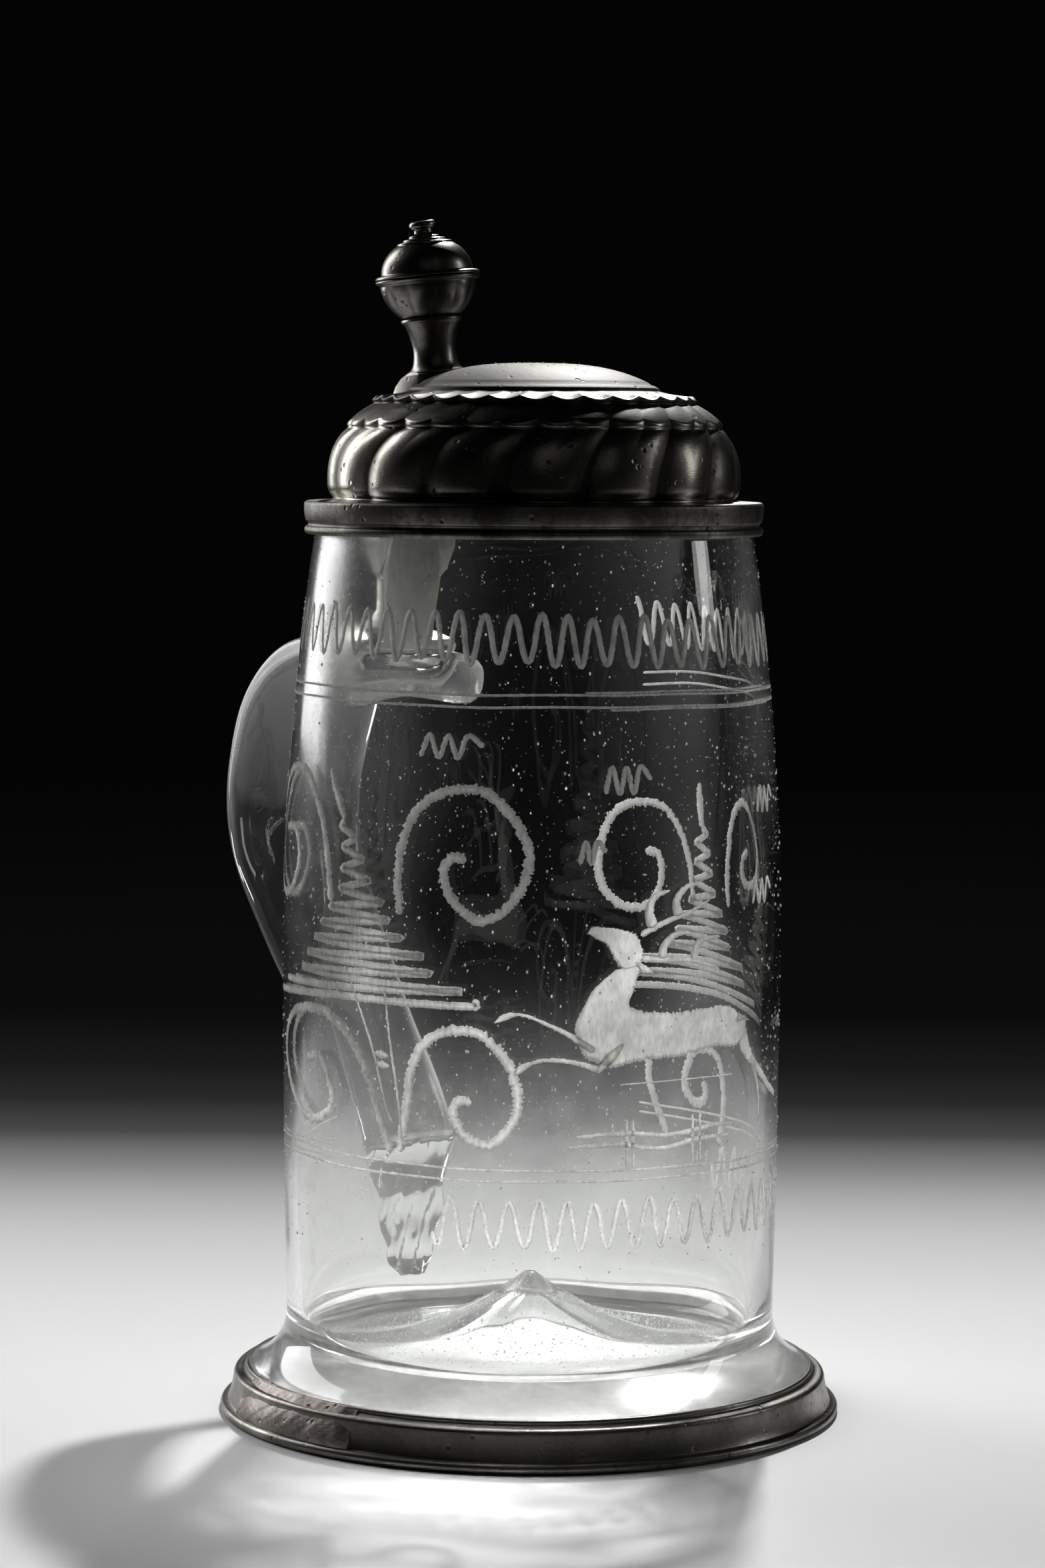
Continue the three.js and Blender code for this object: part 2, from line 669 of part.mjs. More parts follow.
function hingeStrap() {
  const plate = fromSide(strapOutline(), hingeWidth).intersect(strapFace());
  const seated = plate.subtract(glassClearance()).subtract(lidClearance())
    .subtract(collarSolid(GAP)).subtract(handleSolid(GAP));
  const below = new THREE.BoxGeometry(80, 80, 40);
  below.translate(0, hinge.x, collarMiddle().y - 20);
  return fromSolid(withKnuckles(seated.subtract(toSolid(below)), true));
}

function hingePin() {
  const half = hingeWidth / 2 + GAP;
  const profile = [
    point(0, -half - PIN_HEAD_HEIGHT),
    ...arc(point(0, -half), PIN_HEAD_RADIUS, PIN_HEAD_HEIGHT, -55, 0, 2),
    point(PIN_RADIUS, -half),
    point(PIN_RADIUS, half),
    ...arc(point(0, half), PIN_HEAD_RADIUS, PIN_HEAD_HEIGHT, 0, 55, 2),
    point(0, half + PIN_HEAD_HEIGHT),
  ];
  const pin = turned(profile, SMALL_SIDES);
  pin.rotateY(Math.PI / 2);
  pin.translate(0, hinge.x, hinge.y);
  return pin;
}

// Handle: a flat strap of glass, arched out from its root and laid back on the wall

// Middle line of the strap, as distance from the axis and height
function handlePath() {
  const middle = HANDLE_REACH - HANDLE_THICKNESS / 2;
  const root = point(glassRadius(handleRootHeight) - 6, handleRootHeight - 4);
  const widest = point(middle, HANDLE_REACH_HEIGHT);
  const foot = point(glassRadius(HANDLE_FOOT_HEIGHT) + HANDLE_THICKNESS / 2 + GAP, HANDLE_FOOT_HEIGHT);
  const lifted = handleRootHeight + HANDLE_ARCH;
  const upper = new THREE.CubicBezierCurve(
    root, point(root.x + 15, lifted), point(middle, lifted - 8), widest,
  );
  const lower = new THREE.CubicBezierCurve(
    widest, point(middle, HANDLE_REACH_HEIGHT - 21), point(foot.x + 5.4, HANDLE_FOOT_HEIGHT + 20), foot,
  );
  return { upper, lower, foot };
}

// Rings of the strap's section at one place: a flat bar with rounded edges, a little hollow
// on its outer face
function strapRing(place, tangent, width, thickness, side) {
  const out = point(-tangent.y, tangent.x).multiplyScalar(-1);
  const halfWidth = width / 2;
  const half = thickness / 2;
  const round = Math.min(half * 0.75, 2);
  const ring = [];
  const corner = (sideX, sideY, from) => {
    for (const turn of [15, 75]) {
      const angle = RAD * (from + turn);
      const across = sideX * (halfWidth - round) + round * Math.cos(angle);
      const outward = sideY * (half - round) + round * Math.sin(angle);
      ring.push(point(across, outward));
    }
  };
  corner(1, 1, 0);
  ring.push(point(0, half - 0.08 * thickness));
  corner(-1, 1, 90);
  corner(-1, -1, 180);
  ring.push(point(0, -half));
  corner(1, -1, 270);
  return ring.map(({ x, y }) => new THREE.Vector3(side + x, place.x + out.x * y, place.y + out.y * y));
}

// Stations along the handle, each with its width and thickness
function handleStations() {
  const { upper, lower, foot } = handlePath();
  const stations = [];
  const add = (curve, t, width, thickness, side) => {
    const [place, tangent] = [curve.getPoint(t), curve.getTangent(t)];
    stations.push({ place, tangent, width, thickness, side });
  };
  const { lerp, smoothstep } = THREE.MathUtils;
  for (const t of [0, 0.07, 0.12, 0.17, 0.23, 0.29, 0.38, 0.48, 0.6, 0.72, 0.86, 1]) {
    const pad = 1 - smoothstep(t, 0.05, 0.2);
    const width = lerp(HANDLE_WIDTH, HANDLE_PAD_WIDTH, pad);
    const thickness = lerp(HANDLE_THICKNESS, HANDLE_PAD_THICKNESS, pad);
    add(upper, t, width, thickness, 0);
  }
  for (const t of [0.17, 0.34, 0.52, 0.7, 0.86]) {
    const width = lerp(HANDLE_WIDTH, HANDLE_TAIL_WIDTH + 4, smoothstep(t, 0, 1));
    add(lower, t, width, HANDLE_THICKNESS, HANDLE_SKEW * smoothstep(t, 0, 1));
  }
  const tail = [[0, 0.95], [0.12, 1.2], [0.24, 0.75], [0.42, 1.1], [0.7, 0.65], [1, 0.5]];
  for (const [share, body] of tail) {
    const height = lerp(foot.y, TAIL_END_HEIGHT, share);
    const thickness = HANDLE_THICKNESS * body;
    const place = point(glassRadius(height) + thickness / 2 - 0.2, height);
    const width = lerp(HANDLE_TAIL_WIDTH + 3, HANDLE_TAIL_WIDTH, share) * (share === 1 ? 0.7 : 1);
    stations.push({ place, tangent: point(0, -1), width, thickness, side: HANDLE_SKEW });
  }
  return stations;
}

function loft(stations, grow) {
  const rings = stations.map(({ place, tangent, width, thickness, side }) => (
    strapRing(place, tangent, width + 2 * grow, thickness + 2 * grow, side)
  ));
  return toSolid(skin([[middleOf(rings[0])], ...rings, [middleOf(rings[rings.length - 1])]]));
}

function handleSolid(grow) {
  return loft(handleStations(), grow);
}

function glassHandle() {
  return fromSolid(handleSolid(0).subtract(glassClearance()));
}

// Collar: a pewter band round the handle just outside its root

function collarStations() {
  return handleStations().slice(3, 6);
}

function collarSolid(grow) {
  return loft(collarStations(), GAP + COLLAR_WALL + grow);
}

function collarMiddle() {
  return collarStations()[1].place;
}

// Top of the collar at its middle, where the strap's foot rests
function collarHeight() {
  const { place, thickness } = collarStations()[1];
  return place.y + thickness / 2 + GAP + COLLAR_WALL;
}

function handleCollar() {
  return fromSolid(collarSolid(0).subtract(handleSolid(GAP)).subtract(glassClearance()));
}

// Thumbpiece, built upright on its seat and then leaned outwards and to the left

function leaned(geometry) {
  const lean = new THREE.Vector3(-0.81, 0.59, 0).multiplyScalar(Math.tan(RAD * THUMB_LEAN));
  lean.setZ(1).normalize();
  const turn = new THREE.Quaternion().setFromUnitVectors(new THREE.Vector3(0, 0, 1), lean);
  geometry.applyQuaternion(turn);
  geometry.translate(0, thumbDistance, thumbSeat);
  return geometry;
}

function thumbStem() {
  const neckHeight = 0.38 * STEM_HEIGHT;
  const flare = new THREE.SplineCurve([
    point(STEM_COLLAR - 0.4, -1.5),
    point(stemFoot, 0.4),
    point(STEM_NECK + 0.5, 2.4),
    point(STEM_NECK, neckHeight),
    point(STEM_NECK + 0.3, 0.55 * STEM_HEIGHT),
    point(STEM_COLLAR - 0.5, STEM_HEIGHT - 1.2),
  ]);
  const collar = arc(point(STEM_COLLAR - 0.4, STEM_HEIGHT - 0.5), 0.4, 0.5, -45, 90, 2);
  const profile = [point(0, -1.5), ...along(flare, 7), ...collar, point(0, STEM_HEIGHT)];
  const stem = leaned(turned(profile, SMALL_SIDES));
  const below = new THREE.BoxGeometry(40, 40, 20);
  below.translate(0, thumbDistance, thumbSeat + GAP - 10);
  return fromSolid(toSolid(stem).subtract(toSolid(below)));
}

// Where the two halves of the ball meet, above the seat
const ballBase = STEM_HEIGHT + GAP;
const equator = ballBase + BALL_HEIGHT * 0.53;
const ballTop = ballBase + BALL_HEIGHT;

// Quarter of the ball's outline between its widest place and a narrower one, which lies a
// height above it or, where the height is negative, below it
function ballArc(middle, radius, narrow, height, steps) {
  const turn = Math.acos(narrow / radius) / RAD;
  const stretch = Math.abs(height) / Math.sin(RAD * turn);
  return arc(point(0, middle), radius, stretch, 0, turn * Math.sign(height), steps);
}

function thumbLowerHalf() {
  const middle = equator - 0.9;
  const rise = middle - ballBase;
  const outside = ballArc(middle, BALL_RADIUS, STEM_COLLAR - 0.2, -rise, 4).toReversed();
  const inside = ballArc(middle, BALL_RADIUS - BALL_WALL, STEM_COLLAR / 2, BALL_WALL - rise, 2);
  return leaned(turned([
    point(0, ballBase), ...outside,
    point(BALL_RING_RADIUS, equator - 0.5), point(BALL_RING_RADIUS - 0.1, equator),
    point(BALL_RADIUS - BALL_WALL, equator), ...inside, point(0, ballBase + BALL_WALL),
  ], SMALL_SIDES));
}

// Upper half with its three turned steps
function thumbUpperHalf() {
  const base = equator + GAP;
  const middle = base + 0.8;
  const radius = BALL_RADIUS - 0.5;
  const crown = STEM_COLLAR - 0.4;
  const outside = ballArc(middle, radius, crown, ballTop - middle, 4);
  const inside = ballArc(middle, radius - BALL_WALL, crown - 1, ballTop - middle - BALL_WALL, 2);
  const steps = [];
  for (let i = 0; i < 3; i += 1) {
    const edge = crown - 0.3 - 1.3 * i;
    steps.push(point(edge, ballTop + 0.1 + 0.7 * i), point(edge - 0.7, ballTop + 0.5 + 0.7 * i));
  }
  return leaned(turned([
    point(0, ballTop - BALL_WALL), ...inside.toReversed(), point(radius - BALL_WALL, base),
    point(BALL_RING_RADIUS - 0.1, base), point(BALL_RING_RADIUS - 0.2, base + 0.5), ...outside,
    ...steps, point(0, ballTop + 2),
  ], SMALL_SIDES));
}

function thumbKnop() {
  const knop = turned([
    point(0, 0), point(0.6 * KNOP_RADIUS, 0), point(0.55 * KNOP_RADIUS, 0.45 * KNOP_HEIGHT),
    ...arc(point(KNOP_RADIUS - 0.5, 0.75 * KNOP_HEIGHT), 0.5, 0.25 * KNOP_HEIGHT, -60, 90, 3),
    point(0, KNOP_HEIGHT),
  ], SMALL_SIDES);
  knop.rotateY(-RAD * KNOP_TILT);
  knop.translate(0, 0, ballTop + 2 + GAP + 0.15);
  return leaned(knop);
}

// Materials and assembly

const glass = { color: 0xdfe6e0, roughness: 0.06, metalness: 0, transparent: true, opacity: 0.35 };
const pewter = { color: 0x6f6c66, roughness: 0.42, metalness: 1 };
const solder = { color: 0x8a8580, roughness: 0.55, metalness: 1 };

function piece(name, geometry, finish) {
  const mesh = new THREE.Mesh(geometry, new THREE.MeshStandardMaterial(finish));
  mesh.name = name;
  return mesh;
}

const vessel = new THREE.Group();
vessel.add(
  piece('glass_body', glassBody(), glass),
  piece('glass_handle', glassHandle(), glass),
  piece('foot_ring', footRing(), pewter),
  piece('foot_ring_solder', solderPatch(), solder),
  piece('handle_collar', handleCollar(), pewter),
  piece('hinge_strap', hingeStrap(), pewter),
  piece('hinge_pin', hingePin(), pewter),
);

const lid = new THREE.Group();
lid.add(
  piece('lid', lidShell(), pewter),
  piece('lid_arm', lidArm(), pewter),
  piece('thumbpiece_stem', thumbStem(), pewter),
  piece('thumbpiece_lower_half', thumbLowerHalf(), pewter),
  piece('thumbpiece_upper_half', thumbUpperHalf(), pewter),
  piece('thumbpiece_knop', thumbKnop(), pewter),
);

const tankard = new THREE.Group();
tankard.add(vessel, lid);
tankard.position.y = axisShift;

export default tankard;
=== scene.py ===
import math

import bmesh
import bpy
import numpy as np
from mathutils import Matrix, Vector


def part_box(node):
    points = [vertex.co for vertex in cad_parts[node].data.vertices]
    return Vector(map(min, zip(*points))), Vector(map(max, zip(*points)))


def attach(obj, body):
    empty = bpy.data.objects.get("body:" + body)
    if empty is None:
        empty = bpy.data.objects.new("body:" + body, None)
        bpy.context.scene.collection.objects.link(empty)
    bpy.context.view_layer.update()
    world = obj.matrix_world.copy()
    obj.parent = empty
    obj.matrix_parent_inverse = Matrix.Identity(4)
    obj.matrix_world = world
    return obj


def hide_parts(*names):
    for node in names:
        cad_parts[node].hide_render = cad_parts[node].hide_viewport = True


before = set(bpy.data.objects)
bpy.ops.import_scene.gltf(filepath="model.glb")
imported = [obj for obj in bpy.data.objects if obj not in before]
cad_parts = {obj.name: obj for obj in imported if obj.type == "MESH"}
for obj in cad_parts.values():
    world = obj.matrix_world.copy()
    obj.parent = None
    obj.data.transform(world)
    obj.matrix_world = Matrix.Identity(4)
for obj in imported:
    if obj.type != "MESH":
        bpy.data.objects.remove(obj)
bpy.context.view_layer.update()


# Glass body: a blown cylinder, slightly barrel-shaped, with a spread foot and a floor pushed up
# to a cone. Clear glass with a faint grey-green tint, turned here as one wall that runs from the
# middle of the underside over the rim to the middle of the floor.
MM = 0.001
foot_low, foot_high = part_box("foot_ring")
AXIS_Y = (foot_low.y + foot_high.y) / 2
RIM_HEIGHT = 180.7
RIM_RADIUS = 42.9
RIM_WALL = 2.4
BELLY_HEIGHT = 98
BELLY_RADIUS = 49.8
WAIST_HEIGHT = 20
WAIST_RADIUS = 49
WAIST_WALL = 3.6
FLOOR_HEIGHT = 12.5
KICK_HEIGHT = 28
KICK_GLASS = 5.5
SHOULDER_POWER = 1.9
UNDERSIDE_SHARPNESS = 1.9
FLOOR_SHARPNESS = 2.2
RIM_ROUND = 1.2
GRIP_RADIUS = 55.9
GRIP_HEIGHT = 9.5
LIP_HEIGHT = 1.8
FOOT_HOLD = 1.8
REST_RADIUS = 52.1
GLASS_TINT = (0.99, 0.997, 0.988, 1)
SHADOW_TINT = (0.68, 0.68, 0.68, 1)
BENT_TINT = (0.08, 0.08, 0.08, 1)
WHITE = (1, 1, 1, 1)
# The film's white: dust, and on the foot and the handle's edges painted light.
FILM_COLOR = (0.93, 0.94, 0.93, 1)
MAIN_LAMP_ANGLE = 137
BEND_LEFT = 0.9
BEND_RIGHT = 0.4
BEND_POWER = 8
GLASS_SIDES = 288
# Slow waves inside the wall: size in mm, count round the glass, turn in each mm up, and start.
BLOWN_WAVES = ((0.16, 2, 0.03, 0), (0.09, 5, -0.05, 1.3), (0.05, 9, 0.11, 2.1), (0.05, 3, 0.16, 0))
# Shares of the film of dust and wear, which on the foot is also painted light. A haze has its
# share, its middle and its reach to each side in degrees, the height where it begins and how many
# mm further up it is full.
# The foot's film: wear, and painted light for the light that the thick foot carries.
FOOT_WEAR_AND_LIGHT = 0.15
FLOOR_FILM = 0.12
LOW_FILM = 0.11
WALL_FILM = 0.001
HAZES = ((0.34, -97, 19, 75, 90), (0.2, 34, 12, 110, 70))


def glass_radius(height):
    """Outer radius of the wall: the belly's radius, less a power of the distance from the belly."""
    above = np.clip((height - BELLY_HEIGHT) / (RIM_HEIGHT - BELLY_HEIGHT), 0, None)
    below = np.clip((BELLY_HEIGHT - height) / (BELLY_HEIGHT - WAIST_HEIGHT), 0, 1)
    drawn_in = (BELLY_RADIUS - RIM_RADIUS) * above**SHOULDER_POWER
    return BELLY_RADIUS - drawn_in - (BELLY_RADIUS - WAIST_RADIUS) * below**2


def bezier(controls, count):
    """Points of a curve: the control points, each weighted by its Bernstein share."""
    t = np.linspace(0, 1, count)[:, None]
    degree = len(controls) - 1
    shares = [math.comb(degree, k) * t**k * (1 - t) ** (degree - k) for k in range(degree + 1)]
    return sum(share * np.array(control, float) for share, control in zip(shares, controls))


def arc(centre, radii, start, end, count):
    """Points of an ellipse's arc between two angles in degrees, 0 outwards and 90 upwards."""
    angle = np.radians(np.linspace(start, end, count))
    return np.array(centre) + np.array(radii) * np.stack([np.cos(angle), np.sin(angle)], axis=1)


def around_axis(radius, angle, height):
    """Places in mm at a distance from the axis; angle 0 is the front and grows to the right."""
    return np.stack([radius * np.sin(angle), -radius * np.cos(angle), height + 0 * angle], axis=-1)


def turned(profile, sides):
    """Rings of a turned piece: each point of the profile, radius and height, is carried round."""
    angle = np.linspace(0, 2 * np.pi, sides, endpoint=False)[None, :]
    return around_axis(profile[:, :1] + 0 * angle, angle + 0 * profile[:, :1], profile[:, 1:] + 0 * angle)


def skin_faces(rings, around, loop):
    """Corners of the faces between rings of equally many points. A loop joins its last ring to
    its first; otherwise each end is closed by a fan to the ring's middle, the two extra points."""
    last = rings if loop else rings - 1
    i, k = [side.ravel() for side in np.meshgrid(np.arange(last), np.arange(around), indexing="ij")]
    here = i * around
    ahead = (i + 1) % rings * around
    beside = (k + 1) % around
    quads = np.stack([here + k, here + beside, ahead + beside, ahead + k], axis=1)
    if loop:
        return quads, np.zeros((0, 3), int)
    k = np.arange(around)
    beside = (k + 1) % around
    middle = rings * around
    low = np.stack([beside, k, middle + 0 * k], axis=1)
    high = np.stack([middle - around + k, middle - around + beside, middle + 1 + 0 * k], axis=1)
    return quads, np.concatenate([low, high])


def volume(places, triangles):
    """Signed volume of a closed skin: a sixth of the sum of each triangle's triple product."""
    a, b, c = [places[triangles[:, k]] for k in range(3)]
    return np.einsum("ij,ij->", a, np.cross(b, c)) / 6


def placed(name, data):
    """A new object in the scene that holds this mesh, lamp or camera."""
    made = bpy.data.objects.new(name, data)
    bpy.context.scene.collection.objects.link(made)
    return made


def new_object(name, places, quads, triangles, **attributes):
    """A smooth mesh in the shared frame from places in mm about the vessel's axis, turned
    outwards where its signed volume is negative."""
    halves = np.concatenate([triangles, quads[:, :3], quads[:, [0, 2, 3]]])
    if volume(places - places.mean(axis=0), halves) < 0:
        quads, triangles = quads[:, ::-1], triangles[:, ::-1]
    sizes = np.concatenate([np.full(len(quads), 4), np.full(len(triangles), 3)])
    corners = np.concatenate([quads.ravel(), triangles.ravel()])
    mesh = bpy.data.meshes.new(name)
    mesh.vertices.add(len(places))
    mesh.vertices.foreach_set("co", ((places * MM) + [0, AXIS_Y, 0]).ravel())
    mesh.loops.add(len(corners))
    mesh.loops.foreach_set("vertex_index", corners.astype(np.int32))
    mesh.polygons.add(len(sizes))
    mesh.polygons.foreach_set("loop_start", (np.cumsum(sizes) - sizes).astype(np.int32))
    mesh.polygons.foreach_set("use_smooth", np.ones(len(sizes), bool))
    mesh.update(calc_edges=True)
    for label, values in attributes.items():
        layer = mesh.attributes.new(label, "FLOAT", "POINT")
        layer.data.foreach_set("value", values.ravel().astype(np.float32))
    return placed(name, mesh)


def skin(name, rings, loop=False, **attributes):
    """One closed piece from rings of places, with its faces outwards. Each attribute has a value
    at every place; a closed end takes the mean of its ring."""
    quads, triangles = skin_faces(*rings.shape[:2], loop)
    places = rings.reshape(-1, 3)
    if not loop:
        places = np.concatenate([places, rings[[0, -1]].mean(axis=1)])
        for label, values in attributes.items():
            attributes[label] = np.append(values, values[[0, -1]].mean(axis=1))
    return new_object(name, places, quads, triangles, **attributes)


def finish(name, **sockets):
    """A new material, and its main shader with the given values on its sockets."""
    made = bpy.data.materials.new(name)
    made.use_nodes = True
    shader = made.node_tree.nodes["Principled BSDF"]
    for socket, value in sockets.items():
        shader.inputs[socket.replace("_", " ")].default_value = value
    return made, shader


def node(made, kind, inputs=None, **settings):
    """Adds a node to a material. An input is a value or another node's output."""
    new = made.node_tree.nodes.new(kind)
    for key, value in settings.items():
        setattr(new, key, value)
    for key, value in (inputs or {}).items():
        if isinstance(value, bpy.types.NodeSocket):
            made.node_tree.links.new(value, new.inputs[key])
        else:
            new.inputs[key].default_value = value
    return new


def drive(shader, **sockets):
    """Links other nodes' outputs to a shader's sockets."""
    for socket, output in sockets.items():
        shader.id_data.links.new(output, shader.inputs[socket.replace("_", " ")])


def show(made, shaded):
    """Makes a shader's output the surface of the material."""
    drive(made.node_tree.nodes["Material Output"], Surface=shaded)


def reckon(made, operation, *values):
    """Works out one sum from values or other nodes' outputs."""
    return node(made, "ShaderNodeMath", dict(enumerate(values)), operation=operation).outputs[0]


def blended(made, share, first, second):
    """Two shaders in one; the share is what the second one takes."""
    return node(made, "ShaderNodeMixShader", {0: share, 1: first, 2: second}).outputs[0]


def marked(made, label):
    """The value of an attribute of the mesh, or 0 where the piece has none of this name."""
    return node(made, "ShaderNodeAttribute", attribute_name=label).outputs["Fac"]


def toned(made, share, dark, light):
    """A colour between two, nearer to the light one as the share grows."""
    ramp = node(made, "ShaderNodeValToRGB", {"Fac": share})
    ramp.color_ramp.elements[0].color = dark
    ramp.color_ramp.elements[1].color = light
    return ramp.outputs[0]


def noise(made, scale, detail=2.0, stretch=(1, 1, 1), **inputs):
    """Soft noise on the object's own coordinates; the scale counts its patches in a metre."""
    place = node(made, "ShaderNodeTexCoord").outputs["Object"]
    drawn = node(made, "ShaderNodeMapping", {"Vector": place, "Scale": stretch})
    values = {"Vector": drawn.outputs[0], "Scale": scale, "Detail": detail, **inputs}
    return node(made, "ShaderNodeTexNoise", values).outputs["Fac"]


def between(made, value, low, high, to_low=0.0, to_high=1.0):
    """Carries a value from one span to another and stops at its ends."""
    spans = {"Value": value, "From Min": low, "From Max": high, "To Min": to_low, "To Max": to_high}
    return node(made, "ShaderNodeMapRange", spans).outputs["Result"]


def wear(piece, surface, body):
    """Gives a piece its material and the body that it rides on."""
    piece.data.materials.clear()
    piece.data.materials.append(surface)
    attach(piece, body)


def glass_finish(name, wave, patch_low, patch_high):
    """Clear glass with slow waves in its surface. Shadow rays pass with a slight tint in faint
    streaks, because a lamp's light goes through such a thin wall; a bend attribute darkens them
    where thick or slanting glass throws the light aside. Where a piece carries a share of film,
    a thin white film scatters that share of the light: dust and wear, and on the foot and along
    the handle's edges painted light."""
    made, shader = finish(name, Base_Color=GLASS_TINT, Roughness=0.0, IOR=1.5, Transmission_Weight=1.0)
    waves = noise(made, 45, 1, (1, 1, 0.25))
    bump = node(made, "ShaderNodeBump", {"Height": waves, "Strength": wave, "Distance": 0.002})
    # The share of film: dust and wear, and painted light on the foot and the handle's edges.
    dust = marked(made, "dust")
    drive(shader, Normal=bump.outputs[0], Roughness=between(made, dust, 0.08, 0.34, 0.0, 0.3))
    patchy = between(made, noise(made, 190, 7, Roughness=0.8), 0.42, 0.66, patch_low, patch_high)
    film = reckon(made, "MULTIPLY", dust, patchy)
    face = node(made, "ShaderNodeBsdfDiffuse", {"Color": FILM_COLOR}).outputs[0]
    back = node(made, "ShaderNodeBsdfTranslucent", {"Color": FILM_COLOR}).outputs[0]
    dusty = blended(made, film, shader.outputs[0], blended(made, 0.5, face, back))
    shadow = node(made, "ShaderNodeLightPath").outputs["Is Shadow Ray"]
    streaks = between(made, noise(made, 60, 4, (1, 1, 2)), 0.42, 0.54)
    tint = toned(made, streaks, SHADOW_TINT, WHITE)
    shade = node(made, "ShaderNodeMix", {0: marked(made, "bend"), 6: tint, 7: BENT_TINT}, data_type="RGBA")
    clear = node(made, "ShaderNodeBsdfTransparent", {"Color": shade.outputs[2]}).outputs[0]
    show(made, blended(made, shadow, dusty, clear))
    return made


def kick(share, low, high, sharpness):
    """A floor pushed up to a cone: it rises from low to high as a power of the way inwards."""
    return low + (high - low) * (1 - share) ** sharpness


def glass_profile():
    """Outline of the wall from the middle of the underside, round the foot, up the outside,
    over the rim and down the inside to the tip of the floor."""
    share = np.linspace(0, 1, 40)
    raised = kick(share, LIP_HEIGHT, KICK_HEIGHT - KICK_GLASS, UNDERSIDE_SHARPNESS)
    under = np.stack([share * REST_RADIUS, raised], axis=1)
    widest = (LIP_HEIGHT + GRIP_HEIGHT) / 2 - 0.9
    foot = arc((GRIP_RADIUS, widest), (FOOT_HOLD, widest - LIP_HEIGHT), -90, 0, 6)
    lip = arc((GRIP_RADIUS, widest), (FOOT_HOLD, GRIP_HEIGHT - widest), 0, 75, 8)
    flare_out = (GRIP_RADIUS + 0.4 * (WAIST_RADIUS - GRIP_RADIUS), GRIP_HEIGHT + 1.1)
    flare_up = (WAIST_RADIUS, (WAIST_HEIGHT + GRIP_HEIGHT) / 2)
    flare = bezier([(GRIP_RADIUS, GRIP_HEIGHT), flare_out, flare_up, (WAIST_RADIUS, WAIST_HEIGHT)], 24)
    top = RIM_HEIGHT - RIM_ROUND
    up = np.linspace(WAIST_HEIGHT, top, 60)
    outside = np.stack([glass_radius(up), up], axis=1)
    rim = arc((RIM_RADIUS - RIM_WALL / 2, top), (RIM_WALL / 2, RIM_ROUND), 0, 180, 12)[1:-1]
    down = np.linspace(top, WAIST_HEIGHT + 4, 60)
    wall = np.interp(down, [WAIST_HEIGHT, RIM_HEIGHT], [WAIST_WALL, RIM_WALL])
    inside = np.stack([glass_radius(down) - wall, down], axis=1)
    inner = WAIST_RADIUS - WAIST_WALL
    reach = np.linspace(0.9, 0, 40)
    floor = np.stack([reach * inner, kick(reach, FLOOR_HEIGHT, KICK_HEIGHT, FLOOR_SHARPNESS)], axis=1)
    corner = bezier([inside[-1], (inner, FLOOR_HEIGHT + 1), floor[0]], 14)[1:-1]
    return np.concatenate([under, foot, lip, flare[1:], outside[1:], rim, inside, corner, floor])


def polar(rings):
    """Each place's distance from the axis, angle and height."""
    return np.hypot(rings[..., 0], rings[..., 1]), np.arctan2(rings[..., 0], -rings[..., 1]), rings[..., 2]


def pulled(rings, outwards):
    """The same rings with each place moved some mm away from the axis, near it in proportion."""
    pull = 1 + outwards / np.maximum(polar(rings)[0], 1)
    return rings * np.stack([pull, pull, np.ones_like(pull)], axis=-1)


def hand_blown(rings):
    """The inside of a blown wall is never true: a sum of slow sine waves runs round it and up it.
    They fade towards the rim, and the outside has none."""
    radius, angle, height = polar(rings)
    inner = (radius < glass_radius(height) - 1.5) & (height > 10) & (radius > 1)
    waves = sum(size * np.sin(count * angle + up * height + start) for size, count, up, start in BLOWN_WAVES)
    return pulled(rings, inner * waves * np.clip((RIM_HEIGHT - height) / 12, 0, 1))


def glass_dust(profile, angle):
    """Share of the film at each place: more on the foot, where it is worn and where it is painted
    light for the light that the thick foot carries, and where dust lies on the floor inside, a bell
    curve of it low on the wall, a trace elsewhere, and outside two hazy zones under the rim, bell
    curves round the glass that grow upwards."""
    radius, height = profile[:, :1], profile[:, 1:]
    within = np.arange(len(profile))[:, None] > np.argmax(height)
    # On the foot the film is partly wear and partly painted light.
    outside = FOOT_WEAR_AND_LIGHT * np.clip((WAIST_HEIGHT - height) / 9, 0, 1)
    for share, middle, reach, start, rise in HAZES:
        bell = np.exp(-(((angle - middle) / reach) ** 2))
        outside = outside + share * bell * np.clip((height - start) / rise, 0, 1)
    floor = FLOOR_FILM * (radius < WAIST_RADIUS - WAIST_WALL - 0.5) * (height < KICK_HEIGHT + 1)
    low = LOW_FILM * np.exp(-(((height - 47) / 18) ** 2))
    return np.where(within, floor, outside) + low + WALL_FILM


def glass_bend(angle):
    """How much of the main lamp's light the wall throws aside: a high power of the sine of the
    angle to the lamp, so most where the wall stands edge on to it."""
    aside = np.sin(np.radians(angle - MAIN_LAMP_ANGLE))
    return np.where(aside > 0, BEND_LEFT, BEND_RIGHT) * np.abs(aside) ** BEND_POWER


glass = glass_finish("clear_glass", wave=0.05, patch_low=0.6, patch_high=1.4)
glass_line = glass_profile()[1:-1]
glass_angle = ((np.arange(GLASS_SIDES) * 360 / GLASS_SIDES + 180) % 360 - 180)[None, :]
glass_film = glass_dust(glass_line, glass_angle)
glass_rings = hand_blown(turned(glass_line, GLASS_SIDES))
glass_aside = glass_bend(glass_angle) + 0 * glass_film
glass_body = skin("glass_body_wall", glass_rings, dust=glass_film, bend=glass_aside)
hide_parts("glass_body")
wear(glass_body, glass, "vessel")


